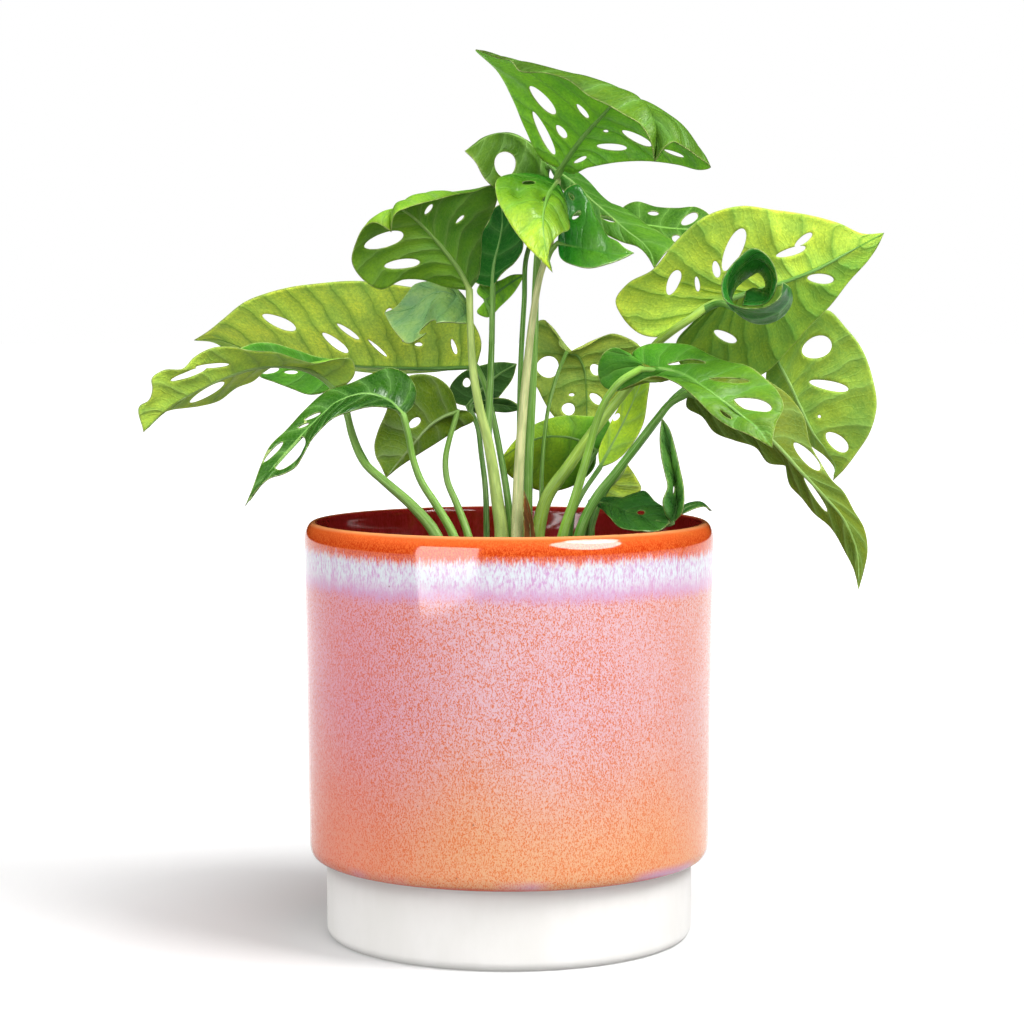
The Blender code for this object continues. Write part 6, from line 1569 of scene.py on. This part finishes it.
def mirrored(across, up, reach):
    """Where the eye's line of sight ends when the glaze mirrors it and it runs on by the reach.

    The line meets the upright cylinder x^2 + y^2 = R^2, and turns to d - 2 (d . n) n there.
    """
    eye = np.array([EYE_ACROSS, -EYE_DISTANCE, EYE_UP])
    d = np.array([across - EYE_ACROSS, EYE_DISTANCE, up - EYE_UP])
    d /= np.linalg.norm(d)
    a, b, c = d[0] ** 2 + d[1] ** 2, eye[:2] @ d[:2], eye[:2] @ eye[:2] - POT_RADIUS ** 2
    hit = eye + d * (-b - math.sqrt(b * b - a * c)) / a
    n = hit * (1, 1, 0) / POT_RADIUS
    return hit + (d - 2 * (d @ n) * n) * reach


def glowing(name, strength):
    """A plain white material that gives light."""
    lit = Shader(name, 1.0, specular_ior_level=0.0)
    lit.colour((0.0, 0.0, 0.0, 1.0))
    lit.glow(strength)
    return lit.material


def pane_mesh(name, corners, material):
    """A flat many-sided sheet from its corners in millimetres."""
    mesh = bpy.data.meshes.new(name)
    mesh.from_pydata([tuple(c * MM) for c in corners], [], [list(range(len(corners)))])
    mesh.materials.append(material)
    sheet = bpy.data.objects.new(name, mesh)
    bpy.context.scene.collection.objects.link(sheet)
    return sheet


def capped(rings, closed, pole):
    """Rings of points joined one to the next, and the ring of the closed row with the pole."""
    points = np.concatenate([rings.reshape(-1, 3), [pole]])
    a, b, c, d = quads(len(rings), RING_CORNERS)
    skin = np.stack([a, d, c, a, c, b], -1).reshape(-1, 3)
    j = np.arange(RING_CORNERS) + closed * RING_CORNERS
    cap = np.stack([j, np.roll(j, -1), np.full(RING_CORNERS, len(points) - 1)], 1)
    return dict(points=points, faces=np.concatenate([skin, cap]))


def floor_and_sky(settings):
    """A pale floor whose own glow grows outwards, under a white dome; neither lights the plant."""
    rings = np.array(FLOOR_RINGS) / MM
    angle = np.arange(RING_CORNERS) * 2 * np.pi / RING_CORNERS
    round_row = np.stack([np.cos(angle), np.sin(angle), angle * 0], -1)
    disc = rings[:, None, None] * round_row + (0, 0, FLOOR_DROP)
    rise = np.linspace(0, np.pi / 2, 13)[1:-1]
    dome = DOME / MM * (np.cos(rise)[:, None, None] * round_row
                        + np.sin(rise)[:, None, None] * np.array([0, 0, 1.0]))
    matt = Shader("pale_floor", 0.9, specular_ior_level=0.0)
    matt.colour((*settings.floor, 1.0))
    away = matt.node("ShaderNodeVectorMath", {0: matt.objects()}, "Value", operation="LENGTH")
    near = matt.ease(away, *NEAR_GLOW[:2], settings.glow, settings.glow + NEAR_GLOW[2])
    matt.glow(matt.add(near, matt.ease(away, *FAR_GLOW[:2], 0.0, FAR_GLOW[2])))
    floor = mesh_object("floor", capped(disc, 0, (0, 0, FLOOR_DROP)), [matt.material])
    floor.visible_diffuse = False
    sky = capped(np.concatenate([disc[-1:], dome]), len(dome), (0, 0, DOME / MM))
    backdrop = mesh_object("backdrop", sky, [glowing("backdrop", 1.0)])
    backdrop.visible_diffuse = backdrop.visible_shadow = backdrop.visible_transmission = False
    backdrop.visible_glossy = False


def disc_light(name, spot, size, power):
    """A round lamp in metres and watts that looks at the middle of the plant."""
    data = bpy.data.lights.new(name, "AREA")
    data.shape = "DISK"
    data.size = size
    data.energy = power
    lamp = bpy.data.objects.new(name, data)
    bpy.context.scene.collection.objects.link(lamp)
    lamp.location = spot
    lamp.rotation_euler = (Vector(LAMPS_LOOK_AT) - lamp.location).to_track_quat("-Z", "Y").to_euler()
    lamp.visible_camera = False
    return lamp


class PLANT_OT_stage(bpy.types.Operator):
    """Lays the floor, hangs the lights and sets the camera at the photo's angle"""
    bl_idname = "plant.stage"
    bl_label = "Floor, light and camera"

    def execute(self, context):
        scene = context.scene
        settings = scene.plant_stage
        floor_and_sky(settings)
        disc_light("key", KEY_AT, KEY_SIZE, settings.key)
        disc_light("fill", FILL_AT, FILL_SIZE, settings.fill).visible_glossy = False
        side = disc_light("side", SIDE_AT, SIDE_SIZE, settings.side)
        side.visible_glossy = False
        spared = bpy.data.collections.new("not_lit_from_the_side")
        spared.objects.link(bpy.data.objects["floor"])
        spared.collection_objects[0].light_linking.link_state = "EXCLUDE"
        side.light_linking.receiver_collection = spared
        disc_light("mirrored_disc", DISC_AT, DISC_SIZE, settings.disc).visible_diffuse = False
        upper = [mirrored(across, up, WINDOW_REACH) for across, up in UPPER_PANE]
        upper += [upper[1] + (0, 0, PANE_HEIGHT), upper[0] + (0, 0, PANE_HEIGHT)]
        lower = [mirrored(across, up, WINDOW_REACH) for across, up in LOWER_PANE]
        for name, corners in (("upper_pane", upper), ("lower_pane", lower)):
            pane = pane_mesh(name, corners, glowing(name, settings.window))
            pane.visible_camera = pane.visible_diffuse = False
        world = bpy.data.worlds.new("studio")
        world.use_nodes = True
        world.node_tree.nodes["Background"].inputs["Color"].default_value = (1, 1, 1, 1)
        world.node_tree.nodes["Background"].inputs["Strength"].default_value = settings.sky
        world.cycles_visibility.glossy = False
        scene.world = world
        scene.view_settings.view_transform = "Standard"
        data = bpy.data.cameras.new("eye")
        data.sensor_width = SENSOR
        data.lens = PHOTO_FOCUS / PHOTO_SIDE * SENSOR
        camera = bpy.data.objects.new("eye", data)
        scene.collection.objects.link(camera)
        camera.location = (EYE_ACROSS * MM, -EYE_DISTANCE * MM, EYE_UP * MM)
        camera.rotation_euler = (math.pi / 2 - EYE_PITCH, 0, 0)
        scene.camera = camera
        return {"FINISHED"}


class PLANT_PT_panel(bpy.types.Panel):
    """Settings and pieces of the plant"""
    bl_label = "Monstera"
    bl_idname = "PLANT_PT_panel"
    bl_space_type = "VIEW_3D"
    bl_region_type = "UI"
    bl_category = "Plant"

    def draw(self, context):
        for group, operators in PANEL_ROWS:
            box = self.layout.box()
            settings = getattr(context.scene, group)
            for name in settings.bl_rna.properties.keys():
                if name not in ("name", "rna_type"):
                    box.prop(settings, name)
            for operator in operators:
                box.operator(operator.bl_idname)


GROUPS = {"plant_pot": PotSettings, "plant_leaf": LeafSettings, "plant_mix": MixSettings,
          "plant_stage": StageSettings}
OPERATORS = (PLANT_OT_pot, PLANT_OT_mix, PLANT_OT_crown, PLANT_OT_left, PLANT_OT_right, PLANT_OT_low,
             PLANT_OT_stage)
PANEL_ROWS = (("plant_pot", OPERATORS[:1]), ("plant_mix", OPERATORS[1:2]), ("plant_leaf", OPERATORS[2:6]),
              ("plant_stage", OPERATORS[6:]))


def register():
    for group in GROUPS.values():
        bpy.utils.register_class(group)
    for name, group in GROUPS.items():
        setattr(bpy.types.Scene, name, PointerProperty(type=group))
    for made in (*OPERATORS, PLANT_PT_panel):
        bpy.utils.register_class(made)


def unregister():
    for made in (PLANT_PT_panel, *reversed(OPERATORS)):
        bpy.utils.unregister_class(made)
    for name, group in GROUPS.items():
        delattr(bpy.types.Scene, name)
        bpy.utils.unregister_class(group)


def main():
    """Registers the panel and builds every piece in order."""
    register()
    bpy.ops.plant.pot()
    bpy.ops.plant.mix()
    bpy.ops.plant.crown()
    bpy.ops.plant.left()
    bpy.ops.plant.right()
    bpy.ops.plant.low()
    bpy.ops.plant.stage()


if __name__ == "__main__":
    main()
